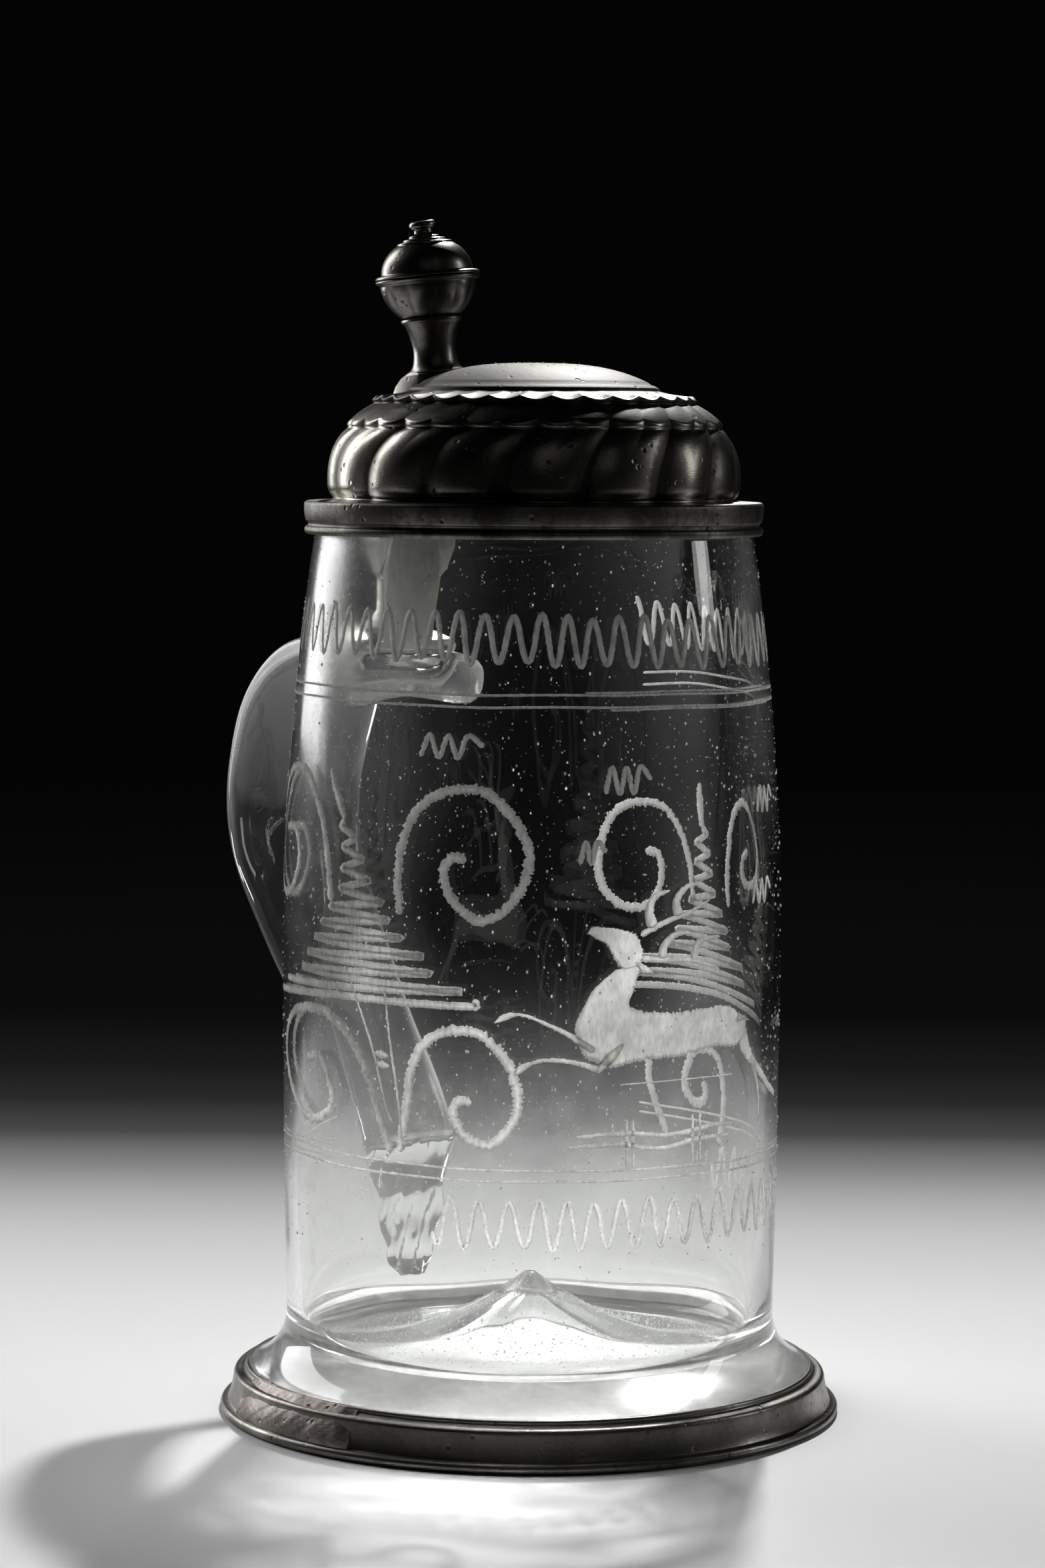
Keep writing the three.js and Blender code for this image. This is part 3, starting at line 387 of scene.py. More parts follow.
# Glass handle: a broad strap drawn from a gather of hot glass. Its upper end is pressed on the
# wall as a pad, it arches out and down, and its lower end is laid back on the wall, pinched
# twice and trailed down as a tail. It melts a little into the wall where it touches.
HANDLE_REACH = 95.3
HANDLE_REACH_HEIGHT = 115
HANDLE_ROOT_HEIGHT = 146
HANDLE_ARCH = 14
HANDLE_FOOT_HEIGHT = 46
HANDLE_WIDTH = 27
HANDLE_THICKNESS = 5
HANDLE_PAD_WIDTH = 38
HANDLE_PAD_THICKNESS = 11
HANDLE_SKEW = 3.3
HANDLE_SIDES = 56
TAIL_TOP_WIDTH = 23
TAIL_END_WIDTH = 19
TAIL_END_HEIGHT = 18.5
MELT = 0.25
HANDLE_FILM = 0.012
PAD_FILM = 0.3
ARCH_FILM = 0.006
# Film along the strap's edges up the arch: a painted highlight.
EDGE_PAINTED_LIGHT = 0.45
HANDLE_BEND = 0.84
# How far down the tail each lump and pinch lies, and its share of the strap's thickness and of
# the tail's width.
TAIL_SHARES = [0, 0.18, 0.345, 0.55, 0.75, 0.88, 1]
TAIL_BODIES = [0.95, 1.35, 0.6, 0.9, 0.85, 1.1, 0.5]
TAIL_WIDTHS = [1, 0.9, 0.74, 0.82, 0.64, 0.7, 0.35]


def ease(value, low, high):
    """0 below low, 1 above high and a smooth cubic between them."""
    t = np.clip((value - low) / (high - low), 0, 1)
    return t * t * (3 - 2 * t)


def averaged(values, reach):
    """Each value as the mean of itself and its neighbours within reach on both sides."""
    share = np.ones(2 * reach + 1) / (2 * reach + 1)
    return np.convolve(np.pad(values, reach, "edge"), share, "valid")


def handle_route():
    """Stations down the handle, each a distance from the axis, a height, a width, a thickness and
    a shift to the side: an arched curve out, a curve back to the wall, and the tail along it."""
    middle = HANDLE_REACH - HANDLE_THICKNESS / 2
    root = (glass_radius(HANDLE_ROOT_HEIGHT) - 6, HANDLE_ROOT_HEIGHT - 4)
    lifted = HANDLE_ROOT_HEIGHT + HANDLE_ARCH
    widest = (middle, HANDLE_REACH_HEIGHT)
    foot = (glass_radius(HANDLE_FOOT_HEIGHT) + HANDLE_THICKNESS / 2 + 0.3, HANDLE_FOOT_HEIGHT)
    upper = bezier([root, (root[0] + 15, lifted), (middle, lifted - 8), widest], 60)
    bent = (middle, HANDLE_REACH_HEIGHT - 21)
    lower = bezier([widest, bent, (foot[0] + 5.4, HANDLE_FOOT_HEIGHT + 20), foot], 48)[1:]
    t = np.linspace(0, 1, 60)
    pad = 1 - ease(t, 0.05, 0.2)
    width = HANDLE_WIDTH + (HANDLE_PAD_WIDTH - HANDLE_WIDTH) * pad
    thickness = HANDLE_THICKNESS + (HANDLE_PAD_THICKNESS - HANDLE_THICKNESS) * pad
    first = np.column_stack([upper, width, thickness, 0 * t])
    t = np.linspace(0, 1, 48)[1:]
    narrowed = ease(t, 0, 1)
    width = HANDLE_WIDTH + (TAIL_TOP_WIDTH - HANDLE_WIDTH) * narrowed
    second = np.column_stack([lower, width, HANDLE_THICKNESS + 0 * t, HANDLE_SKEW * narrowed])
    t = np.linspace(0, 1, 60)[1:]
    height = HANDLE_FOOT_HEIGHT + (TAIL_END_HEIGHT - HANDLE_FOOT_HEIGHT) * t
    thickness = HANDLE_THICKNESS * averaged(np.interp(t, TAIL_SHARES, TAIL_BODIES), 3)
    width = TAIL_TOP_WIDTH + (TAIL_END_WIDTH - TAIL_TOP_WIDTH) * t
    width = width * averaged(np.interp(t, TAIL_SHARES, TAIL_WIDTHS), 3)
    third = np.column_stack([glass_radius(height) + thickness / 2 - 0.2, height, width, thickness])
    return np.concatenate([first, second, np.column_stack([third, HANDLE_SKEW + 0 * t])])


def strap_rings(route):
    """Section of the strap at each station: a flat bar with round edges, a little hollow on its
    outer face, laid square to the direction of the route. Powers of a circle's cosine and sine
    make it flat, and rounder down the tail."""
    ahead = np.gradient(route[:, :2], axis=0)
    ahead /= np.linalg.norm(ahead, axis=1)[:, None]
    outward = np.stack([-ahead[:, 1], ahead[:, 0]], axis=1)
    angle = np.linspace(0, 2 * np.pi, HANDLE_SIDES, endpoint=False)[None, :]
    tail = 1 - ease(route[:, 1:2], TAIL_END_HEIGHT + 20, TAIL_END_HEIGHT + 38)
    across = np.sign(np.cos(angle)) * np.abs(np.cos(angle)) ** (0.35 + 0.5 * tail) * route[:, 2:3] / 2
    bar = np.sign(np.sin(angle)) * np.abs(np.sin(angle)) ** (0.75 + 0.35 * tail) * route[:, 3:4] / 2
    bar -= np.where(np.sin(angle) > 0, 0.09 * np.cos(across / route[:, 2:3] * np.pi) ** 2, 0) * route[:, 3:4]
    x = across + route[:, 4:5]
    return np.stack([x, route[:, :1] + outward[:, :1] * bar, route[:, 1:2] + outward[:, 1:] * bar], axis=-1)


def cut_by(piece, tool, operation):
    """Takes the tool's solid out of the piece, or keeps only what lies inside it, and throws the
    tool away."""
    cut = piece.modifiers.new("cut", "BOOLEAN")
    cut.operation = operation
    cut.solver = "EXACT"
    cut.object = tool
    shown = piece.evaluated_get(bpy.context.evaluated_depsgraph_get())
    cut_mesh = bpy.data.meshes.new_from_object(shown)
    piece.modifiers.clear()
    piece.data = cut_mesh
    bpy.data.objects.remove(tool)


def hand_drawn(rings):
    """A drawn strap is never quite even: sine waves of a tenth of a millimetre run along the arch,
    and larger ones lie slanting across the tail."""
    x, y, height = [rings[..., k] for k in range(3)]
    waves = 0.12 * np.sin(0.35 * height + 0.2 * x) * ease(y, 52, 60)
    ripples = 0.2 * np.sin(0.75 * height + 0.5 * x) + 0.4 * np.sin(1.5 * x - 0.4 * height)
    return np.stack([x, y + waves + ripples * (1 - ease(height, 40, 50)), height], axis=-1)


def handle_dust(rings):
    """Share of the film on the handle: a trace all over, more on the pad by the wall, and up the
    arch a high power of the way from the middle of the strap to its edges, there a painted
    highlight along both edges."""
    outward, _, height = polar(rings)
    edges = np.abs(np.cos(np.linspace(0, 2 * np.pi, HANDLE_SIDES, endpoint=False)))[None, :] ** 6
    pad = (1 - ease(outward, 48, 56)) * (height > 120)
    arch = ease(height, 95, 150) * ease(outward, 55, 70)
    # The film along the edges up the arch is a painted highlight.
    return HANDLE_FILM + PAD_FILM * pad + (ARCH_FILM + EDGE_PAINTED_LIGHT * edges) * arch


handle_rings = hand_drawn(strap_rings(handle_route()))
handle_film = handle_dust(handle_rings)
glass_handle = skin("glass_handle_strap", handle_rings, dust=handle_film, bend=HANDLE_BEND + 0 * handle_film)
core_height = np.linspace(5, RIM_HEIGHT, 90)
core = np.stack([glass_radius(core_height) - MELT, core_height], axis=1)
cut_by(glass_handle, skin("inside_of_the_wall", turned(core, 144)), "DIFFERENCE")
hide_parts("glass_handle")
drawn_glass = glass_finish("drawn_glass", wave=0.25, patch_low=0.8, patch_high=1.2)
wear(glass_handle, drawn_glass, "vessel")


# Engraving: marks of a grinding wheel in the outside of the glass, left matt and greyish white.
# Between two zigzag bands with thin double lines stand two tall trees, each among four scrolls,
# and a stag leaps over a fence. Small wavy flourishes fill the gaps.
CUT_PROUD = 0.035
CUT_DEPTH = 0.09
CUT_STEP = 0.33
BAND_WAVES = 55
BAND_HALF = 4.5
TREE_WIDTH = 1.5
SCROLL_WIDTH = 1.9
BACK_SCROLL_WIDTH = 1.8
FLOURISH_WIDTH = 1.05
TREE_TURN = -42.5
BACK_TREE_TURN = 128
# Places on the unrolled glass are degrees to the right of the side that faces the camera, and mm
# of height. The paths below are laid out there.
VIEW_TURN = -36.0
UNROLLED_RADIUS = 49.0
MM_PER_DEGREE = math.radians(UNROLLED_RADIUS)
cut_random = np.random.default_rng(7)


def smooth_path(points):
    """A rounded path through points: a cubic between each two, whose slopes follow their
    neighbours, walked in even steps on the unrolled glass."""
    knots = np.array(points, float) * [MM_PER_DEGREE, 1]
    if len(knots) == 2:
        knots = np.linspace(knots[0], knots[1], 4)
    ends = np.concatenate([[2 * knots[0] - knots[1]], knots, [2 * knots[-1] - knots[-2]]])
    t = np.linspace(0, 1, 12, endpoint=False)[None, :, None]
    before, start, stop, after = [ends[k : len(ends) - 3 + k, None, :] for k in range(4)]
    curve = start + 0.5 * t * (stop - before) + t**2 * (before - 2.5 * start + 2 * stop - 0.5 * after)
    curve = curve + 0.5 * t**3 * (3 * start - before - 3 * stop + after)
    curve = np.concatenate([curve.reshape(-1, 2), knots[-1:]])
    return even_steps(curve)


def along(marks, run, path):
    """Points of a path at some marks, where run tells the mark of each of its own points."""
    return np.stack([np.interp(marks, run, side) for side in path.T], axis=1)


def even_steps(curve):
    """The same path with its points a fixed step apart."""
    run = np.append(0, np.cumsum(np.linalg.norm(np.diff(curve, axis=0), axis=1)))
    return along(np.linspace(0, run[-1], max(4, int(run[-1] / CUT_STEP) + 1)), run, curve)


def on_glass(flat, lift):
    """Places on the outside of the glass, raised by a lift, from mm on the unrolled glass."""
    angle = np.radians(flat[..., 0] / MM_PER_DEGREE + VIEW_TURN)
    radius = glass_radius(flat[..., 1]) + lift
    return np.stack([radius * np.sin(angle), -radius * np.cos(angle), flat[..., 1]], axis=-1)


def sheet_rings(left, right, columns):
    """Closed rings of a thin cut between a left and a right edge: up over the face and back
    under it. The face stands a trace proud in the middle, so that light can catch it."""
    share = np.linspace(0, 1, columns)
    back = share[-2:0:-1]
    crown = 4 * share * (1 - share)
    lift = np.concatenate([CUT_PROUD * crown, -CUT_DEPTH * crown[-2:0:-1]]) - 0.01
    both = np.concatenate([share, back])[None, :, None]
    flat = left[:, None, :] * (1 - both) + right[:, None, :] * both
    return on_glass(flat, lift[None, :])


def square_to(path):
    """Directions across a path, in each place a quarter turn to the left of the way ahead."""
    ahead = np.gradient(path, axis=0)
    ahead /= np.linalg.norm(ahead, axis=1)[:, None] + 1e-9
    return np.stack([-ahead[:, 1], ahead[:, 0]], axis=1)


def stroke(points, width, ragged=0.07):
    """One pass of the wheel: a path widened to both sides. A list of widths runs along the
    path, the ends are rounded as a circle, and both edges are a little ragged."""
    middle = smooth_path(points)
    run = np.linspace(0, 1, len(middle))
    half = np.interp(run, np.linspace(0, 1, np.size(width)), np.atleast_1d(width)) / 2
    from_end = np.minimum(run, 1 - run) * CUT_STEP * len(middle) / (half + 1e-6)
    half = half * np.sqrt(np.clip(1 - (1 - np.clip(from_end, 0.02, 1)) ** 2, 0.01, 1))
    aside = square_to(middle)
    rag = cut_random.normal(0, ragged, (2, len(middle), 1))
    left = middle + aside * (half[:, None] + rag[0])
    right = middle - aside * (half[:, None] + rag[1])
    return sheet_rings(left, right, 3)


def region(upper, lower):
    """A ground area between two edges whose points face each other, each smoothed by a moving
    mean and a little ragged."""
    marks = np.linspace(0, len(upper) - 1, 24 * len(upper))
    both = []
    for edge in (upper, lower):
        edge = along(marks, np.arange(len(edge)), np.array(edge, float) * [MM_PER_DEGREE, 1])
        both.append(np.stack([averaged(side, 6) for side in edge.T], axis=1))
    across = both[1] - both[0]
    across /= np.linalg.norm(across, axis=1)[:, None] + 1e-9
    rag = cut_random.normal(0, 0.16, (2, len(marks), 1))
    return sheet_rings(both[0] - across * rag[0], both[1] + across * rag[1], 11)


def engraving(name, strokes):
    """Joins strokes and areas, each a closed skin of rings, in one mesh."""
    places, quads, triangles = [], [], []
    start = 0
    for rings in strokes:
        some_quads, some_triangles = skin_faces(rings.shape[0], rings.shape[1], False)
        quads.append(some_quads + start)
        triangles.append(some_triangles + start)
        places.append(np.concatenate([rings.reshape(-1, 3), rings[[0, -1]].mean(axis=1)]))
        start += len(places[-1])
    return new_object(name, np.concatenate(places), np.concatenate(quads), np.concatenate(triangles))


def shifted(points, turn, rise=0.0, side=1):
    """The same path further round the glass and higher, or its mirror image where side is -1."""
    return [(turn + side * angle, height + rise) for angle, height in points]


def band(middle, slope, width, first, last):
    """A zigzag with rounded turns: a sine wave raised to a power a little under one, whose height
    and spacing wander by slower sines."""
    angle = np.linspace(first, last, int((last - first) * BAND_WAVES / 360 * 14))
    drift = 0.9 * np.sin(np.radians(7 * angle + 30)) + 0.6 * np.sin(np.radians(13 * angle + 80))
    wave = np.sin(np.radians(angle * BAND_WAVES) + 0.5 * np.sin(np.radians(5 * angle)))
    wave = np.sign(wave) * np.abs(wave) ** 0.85
    reach = BAND_HALF * (1 + 0.07 * np.sin(np.radians(17 * angle)) + 0.05 * np.sin(np.radians(41 * angle)))
    height = middle + slope * np.sin(np.radians(angle)) + reach * wave
    return stroke(np.stack([angle + 0.4 * drift, height], axis=1), width, 0.05)


def ring_line(height, slope, width, first, last):
    """A thin line round the glass, wandering by a few tenths of a millimetre."""
    angle = np.linspace(first, last, int((last - first) / 3) + 2)
    wander = 0.12 * np.sin(np.radians(4 * angle)) + 0.08 * np.sin(np.radians(11 * angle + 50))
    height = height + slope * np.sin(np.radians(angle)) + wander
    return stroke(np.stack([angle, height], axis=1), width, 0.03)


def tree(turn, rise=0.0, lean=1.0, trunks=True):
    """A tall fir: one zigzag line that starts as a thin top, then runs from side to side in
    strokes that widen as a cube towards the foot, and two fine cuts for the trunk. The top
    leans to the left, or the other way where the lean is negative."""
    heights = np.append(np.arange(120.2, 106, -2.0), np.arange(104.5, 88, -1.6))
    sides = np.where(np.arange(len(heights)) % 2 == 0, -1, 1)
    half = 1.5 + 36 * ((131 - heights) / 45) ** 3
    drift = -10.5 * lean * (np.clip(heights - 100, 0, None) / 31) ** 2.2
    uneven = 1 + cut_random.normal(0, 0.07, len(heights))
    tip = [(-10.8, 131), (-8.6, 127.5), (-6.4, 124.2), (-4.8, 121.6)]
    tip = [(lean * angle, height) for angle, height in tip]
    zigzag = tip[-1:] + list(zip(drift + sides * half * uneven, heights))
    foot = [(30, 88.8), (30.5, 87.3), (-7.5, 87.5), (-42.5, 85.5)]
    trunk = [(-3.7, 93.3), (-0.5, 88), (4.5, 78.5), (8.5, 67), (10.2, 64)]
    second = [(8, 90), (9.5, 80), (11.5, 70), (13, 59)]
    marks = [[(5.2, 77.2), (9.2, 76.8)], [(5.5, 75.2), (9.4, 74.9)]]
    cuts = [sharp_stroke(shifted(path, turn, rise), TREE_WIDTH) for path in (zigzag, foot)]
    cuts.append(stroke(shifted(tip, turn, rise), [1.2, 2.0, 1.9, 1.6], 0.13))
    if trunks:
        cuts += [stroke(shifted(line, turn), [0.3, 0.6, 0.3]) for line in (trunk, second)]
        cuts += [stroke(shifted(mark, turn), [0.5, 1.6, 0.5]) for mark in marks]
    return cuts


def sharp_stroke(points, width):
    """A stroke that turns sharply at its points."""
    knots = np.array(points, float)
    marks = np.linspace(0, len(knots) - 1, 10 * len(knots))
    return stroke(along(marks, np.arange(len(knots)), knots), width)


UPPER_SCROLL = [
    (12.1, 104.2), (11.4, 110.3), (12.1, 117.1), (14.6, 122.7), (18.2, 126.1), (22.5, 127.9),
    (26.8, 128.6), (31.8, 128.2), (36.1, 125.5), (39.6, 121.5), (41.8, 117.1), (41.4, 112.8),
    (39.6, 109.1), (37.5, 106.6), (34.6, 104.8), (31.4, 103.6), (28.2, 104.8), (25, 107.3),
    (22.9, 111), (22.9, 114), (25, 115.6), (27.9, 115.1),
]
UPPER_LEFT_SCROLL = [
    (8.9, 105.4), (10, 111), (11.1, 115.3), (12.9, 120.2), (15.4, 123.9), (18.9, 127.9),
    (22.5, 130.1), (27.5, 130.7), (33.2, 129.8), (37.5, 127.6), (42, 123.5), (45.5, 118),
    (46, 112.5), (43, 107.8), (37.5, 105.4), (32.5, 105.4), (28.9, 107), (26.1, 109.7),
    (24.6, 112.8), (25.4, 115.9), (28.2, 118.4), (32.5, 118.5), (36.1, 118),
]
LOWER_LEFT_SCROLL = [
    (19.3, 73.9), (13.9, 74.9), (11.8, 73.9), (9.6, 70.8), (8.2, 67.8), (9.3, 65), (11.8, 63.4),
    (14.6, 62.3), (19.6, 62.5), (24.6, 64.4), (28.9, 67.1), (32.5, 70.2), (34.6, 73.9),
    (33.9, 77), (31.1, 80.1), (26.1, 82.6), (18.9, 83.9), (11.8, 83.8), (6.8, 82.3),
    (2.5, 79.5), (-1.1, 75.8), (-3.9, 71.5), (-6.1, 66.5), (-7.9, 62.2), (-9.3, 58.5),
]
LOWER_SCROLL = [
    (12.2, 58.5), (14.2, 69.4), (14.4, 71.8), (15.8, 76.6), (18.1, 79.4), (21.4, 81.6),
    (25.8, 82.6), (30.8, 82.1), (35.4, 78.9), (37.9, 75.8), (39.3, 72.1), (39.6, 68.4),
    (38.6, 65.3), (36.1, 62.5), (33.2, 60.7), (29.2, 61.7), (26.7, 63.6), (25.3, 66),
    (25.3, 68.2), (26.9, 69.1), (29.4, 69.1),
]


# The tree at the back, seen through the glass, stands lower, and its scrolls are cut freely.
BACK_UPPER = [
    (134.5, 99), (136, 106), (139, 112), (143, 116.5), (147, 118.5), (152, 119), (158, 118),
    (162, 115.5), (164.5, 111.5), (165.5, 106.5), (164.5, 102), (162, 99), (158, 97), (153, 96.8),
    (149.5, 98.5), (147.3, 102), (147, 105.5), (148.5, 108), (152.5, 108.3),
]
BACK_LEFT = [
    (118, 99), (119.5, 104), (120, 110), (119, 116), (116, 119.5), (111, 121), (106, 119.5),
    (102.5, 115.5), (101.5, 110.5), (103.5, 106), (107.5, 104), (111.5, 105.5), (112, 109), (109, 111),
]
BACK_LOWER = [
    (127, 50), (126, 56), (127, 62), (129.5, 67), (137, 67.5), (140, 63), (139.5, 59), (136, 57),
    (133.5, 58.5), (134, 61.5),
]
BACK_ARC = [(152, 66), (151.5, 60), (149, 55), (146, 50)]


def front_motif(turn):
    """A tree with a scroll above and below on each side; the right and left ones differ."""
    right = [shifted(path, turn) for path in (UPPER_SCROLL, LOWER_SCROLL)]
    left = [shifted(path, turn, side=-1) for path in (UPPER_LEFT_SCROLL, LOWER_LEFT_SCROLL)]
    right = [stroke(path, SCROLL_WIDTH, 0.19) for path in right]
    return tree(turn) + right + [stroke(path, SCROLL_WIDTH, 0.19) for path in left]


def back_motif():
    """The lower tree at the back with its four scrolls."""
    upper = [shifted(path, -2) for path in (BACK_UPPER, BACK_LEFT)]
    lower = [shifted(path, -5) for path in (BACK_LOWER, BACK_ARC)]
    scrolls = [stroke(path, BACK_SCROLL_WIDTH, 0.17) for path in upper + lower]
    return tree(BACK_TREE_TURN, rise=-7, lean=-0.3, trunks=False) + scrolls


def flourish(start, height, pitch, half, waves):
    """A little zigzag like joined letters m."""
    k = np.arange(2 * waves + 1)
    path = np.stack([start + pitch * k / 2, height + np.where(k % 2 == 0, -half, half)], axis=1)
    path[-1] += [0.3 * pitch, half]
    return stroke(path, FLOURISH_WIDTH)


STAG_BACK = [
    (57.4, 82.6), (54.3, 83.8), (50.7, 85.5), (47.1, 86), (40, 85.7), (32.9, 85.5), (25.7, 86.1),
    (21.8, 87.2), (22.2, 88.6), (23.2, 90.6), (24.3, 93.7), (24.8, 95.2),
]
STAG_BELLY = [
    (57.0, 80), (54, 77.8), (50.7, 77.6), (47.1, 78.2), (40, 77.6), (32.9, 76.7), (25.7, 77),
    (18, 75.4), (11.6, 77.6), (9.2, 83.4), (13.4, 90.6), (19, 94.6),
]
HEAD_TOP = [(24.8, 94.9), (25.2, 98), (23.9, 100.8), (21.4, 101.7), (18.6, 102.3), (12.9, 102.7)]
HEAD_UNDER = [(21, 94.4), (20, 94.8), (19, 95.6), (16.8, 99.2), (13.6, 100.8), (12.3, 101.6)]
THIGH_TOP = [(57.4, 81), (57.8, 79.2), (58.9, 77.3), (60.4, 75.2), (65, 72.1), (70, 69), (77, 66)]
THIGH_UNDER = [(54.4, 77.7), (54.6, 77.2), (55.8, 75.9), (58.6, 73.9), (64, 70.8), (69.5, 67.4), (76.5, 64.8)]


def stag():
    """A leaping stag: body, head and thigh as ground areas, and tapering strokes for the ear,
    the tail, the legs with their hooves and the two antlers with their tines."""
    areas = [(STAG_BACK, STAG_BELLY), (HEAD_TOP, HEAD_UNDER), (THIGH_TOP, THIGH_UNDER)]
    tapered = [
        ([(23.4, 95.6), (25.4, 94.4), (27.8, 93.4)], [0.5, 1.5, 0.2]),
        ([(53, 82.8), (56, 82.8), (58.4, 82.2)], [1.8, 0.9, 0.2]),
        ([(14, 78.8), (11, 80.6), (7.9, 82.3), (3.6, 84.1), (-0.7, 85.7), (-3.6, 86.1)], [1.6, 1, 0.7, 0.6]),
        ([(-3.2, 86.1), (-5.4, 85.6), (-8.2, 84.3)], [0.6, 1.4, 0.2]),
        ([(21, 80.2), (18, 77.8), (14.6, 74.8)], [0.4, 2.4, 0.9]),
        ([(15.2, 75.2), (11.4, 76.4), (7.1, 77.1), (2.9, 77.3), (0, 76.7)], [1.3, 0.9, 0.8, 0.7]),
        ([(0.4, 76.8), (-1.6, 76), (-4.4, 74)], [0.7, 1.5, 0.2]),
        ([(60, 75), (61.1, 72.4), (62.9, 69.6), (64.1, 65.9), (63.9, 61.6)], [2.2, 1.3, 0.9, 0.7, 0.5]),
        ([(24.6, 100.8), (28.6, 102.3), (32.9, 103.6), (37.1, 104.5), (43.6, 106.8)], [1.2, 1.1, 0.9, 0.4]),
        ([(27.9, 102), (26.8, 104.8), (27.9, 107.9), (32.1, 109.1)], [2.4, 1.9, 1.3, 0.4]),
        ([(34.3, 103.9), (33.9, 107), (36.4, 109.4), (40, 110.3)], [2.2, 1.7, 1.1, 0.4]),
        ([(25, 96.3), (30, 95.8), (35.7, 95.5), (40, 94.9), (46.8, 93.2)], [1.2, 1.1, 0.9, 0.4]),
        ([(30, 96.1), (30.7, 98.6), (33.6, 100.5), (37.9, 100.8)], [2.2, 1.6, 1.1, 0.4]),
        ([(38.6, 95.5), (39.3, 97.7), (41.4, 99.2), (46.8, 99.4)], [2.2, 1.6, 1.1, 0.4]),
    ]
    filled = [region(top, under) for top, under in areas]
    return filled + [stroke(path, width, 0.06) for path, width in tapered]


def fence():
    """Two wavy rails and two pairs of thin pales."""
    high = [(10, 62.5), (21.4, 62.8), (31.4, 62), (41.4, 62.5), (46.4, 62.9), (52.5, 62.2)]
    low = [(8.2, 60.5), (20, 60.8), (25.7, 59.9), (31.4, 59.5), (40, 60.5), (50.7, 60.5)]
    pales = [[(turn, 65.5), (turn + 0.2, 56)] for turn in (21.6, 23.2, 38.9, 41.1)]
    rails = [stroke(path, [0.5, 1.1, 0.8, 1.1, 0.6]) for path in (high, low)]
    return rails + [stroke(pale, 0.6) for pale in pales]


# Each line's height, the slope of its ring, its width, and where it starts and ends.
RING_LINES = [
    (146.5, -0.3, 0.5, -120, 150), (144.2, -0.3, 0.5, -120, 150), (146.9, 0, 0.4, 12, 72),
    (143.6, 0, 0.4, 18, 75), (56, -0.9, 0.45, -120, 150), (53.9, -0.5, 0.45, -120, 150),
    (72.2, 0.2, 0.25, 20, 52),
]
# Each flourish's start, height, pitch, half height and number of waves.
FLOURISHES = [
    (-26.3, 136.6, 4.6, 2.1, 3), (16.5, 130.3, 3.4, 2.5, 3), (10.6, 116.7, 2.6, 2.1, 2),
    (63.3, 124.8, 3.2, 2.3, 3), (60, 107, 3.2, 2.2, 3),
]
cut_bands = [band(156.9, -1.2, 1.2, -115, 152)] + [ring_line(*line) for line in RING_LINES]
flourishes = [flourish(*place) for place in FLOURISHES]


def ground_finish(name, tint, clear):
    """Ground glass: matt greyish white that scatters light from both sides, with fine streaks
    left by the wheel. Clear is how much shows through where the grinding is thinnest."""
    made, shader = finish(name, Roughness=0.75, IOR=1.3)
    tone = reckon(made, "ADD", noise(made, 1600, 3, (1, 1, 0.35)), noise(made, 260, 2))
    dark = [0.72 * level for level in tint]
    color = toned(made, between(made, tone, 0.7, 1.3), (*dark, 1), (*tint, 1))
    drive(shader, Base_Color=color)
    through = node(made, "ShaderNodeBsdfTranslucent", {"Color": color}).outputs[0]
    bare = node(made, "ShaderNodeBsdfTransparent").outputs[0]
    gaps = between(made, tone, 0.75, 1.15, clear, 0.05)
    show(made, blended(made, gaps, blended(made, 0.82, shader.outputs[0], through), bare))
    return made


ground = ground_finish("ground_glass", tint=(0.94, 0.94, 0.92), clear=0.26)
dense = ground_finish("dense_ground_glass", tint=(0.97, 0.97, 0.95), clear=0.16)
faint = ground_finish("faint_ground_glass", tint=(0.98, 0.98, 0.96), clear=0.95)
for title, cuts, surface in (
    ("engraved_bands", cut_bands, ground),
    ("engraved_low_band", [band(45.5, -0.6, 1.1, -22, 125)], faint),
    ("engraved_trees", front_motif(TREE_TURN) + back_motif() + flourishes, ground),
    ("engraved_stag", stag(), dense),
    ("engraved_fence", fence(), dense),
):
    wear(engraving(title, cuts), surface, "vessel")


# Seeds and dust: small bubbles in old glass and specks on it, made as some thousands of little
# eight-sided grains scattered over the wall, inside and outside, and over the floor.
WALL_GRAINS = 4200
FLOOR_GRAINS = 2200
GRAIN_COLOR = (0.9, 0.9, 0.88, 1)
GRAIN_TIPS = [[1, 0, 0], [-1, 0, 0], [0, 1, 0], [0, -1, 0], [0, 0, 1.3], [0, 0, -1.3]]
GRAIN_SIDES = [[0, 2, 4], [2, 1, 4], [1, 3, 4], [3, 0, 4], [2, 0, 5], [1, 2, 5], [3, 1, 5], [0, 3, 5]]


def scattered(name, middles, sizes):
    """One mesh of eight-sided grains: their six tips about each middle, times each size."""
    places = middles[:, None] + np.array(GRAIN_TIPS) * sizes[:, None, None]
    faces = np.array(GRAIN_SIDES)[None] + 6 * np.arange(len(sizes))[:, None, None]
    return new_object(name, places.reshape(-1, 3), np.zeros((0, 4), int), faces.reshape(-1, 3))


grain_random = np.random.default_rng(11)
grain_height = grain_random.uniform(34, 178, WALL_GRAINS)
outside = grain_random.random(WALL_GRAINS) < 0.6
wall_there = np.interp(grain_height, [WAIST_HEIGHT, RIM_HEIGHT], [WAIST_WALL, RIM_WALL])
grain_radius = glass_radius(grain_height) + np.where(outside, 0.02, -wall_there - 0.03)
reach = grain_random.random(FLOOR_GRAINS) ** 0.5 * 0.88
floor_there = kick(reach, FLOOR_HEIGHT, KICK_HEIGHT, FLOOR_SHARPNESS)
grain_radius = np.append(grain_radius, reach * (WAIST_RADIUS - WAIST_WALL))
grain_height = np.append(grain_height, floor_there + 0.04)
grain_angle = grain_random.uniform(0, 2 * np.pi, len(grain_height))
grain_size = 0.09 + 0.24 * grain_random.random(len(grain_height)) ** 3.5
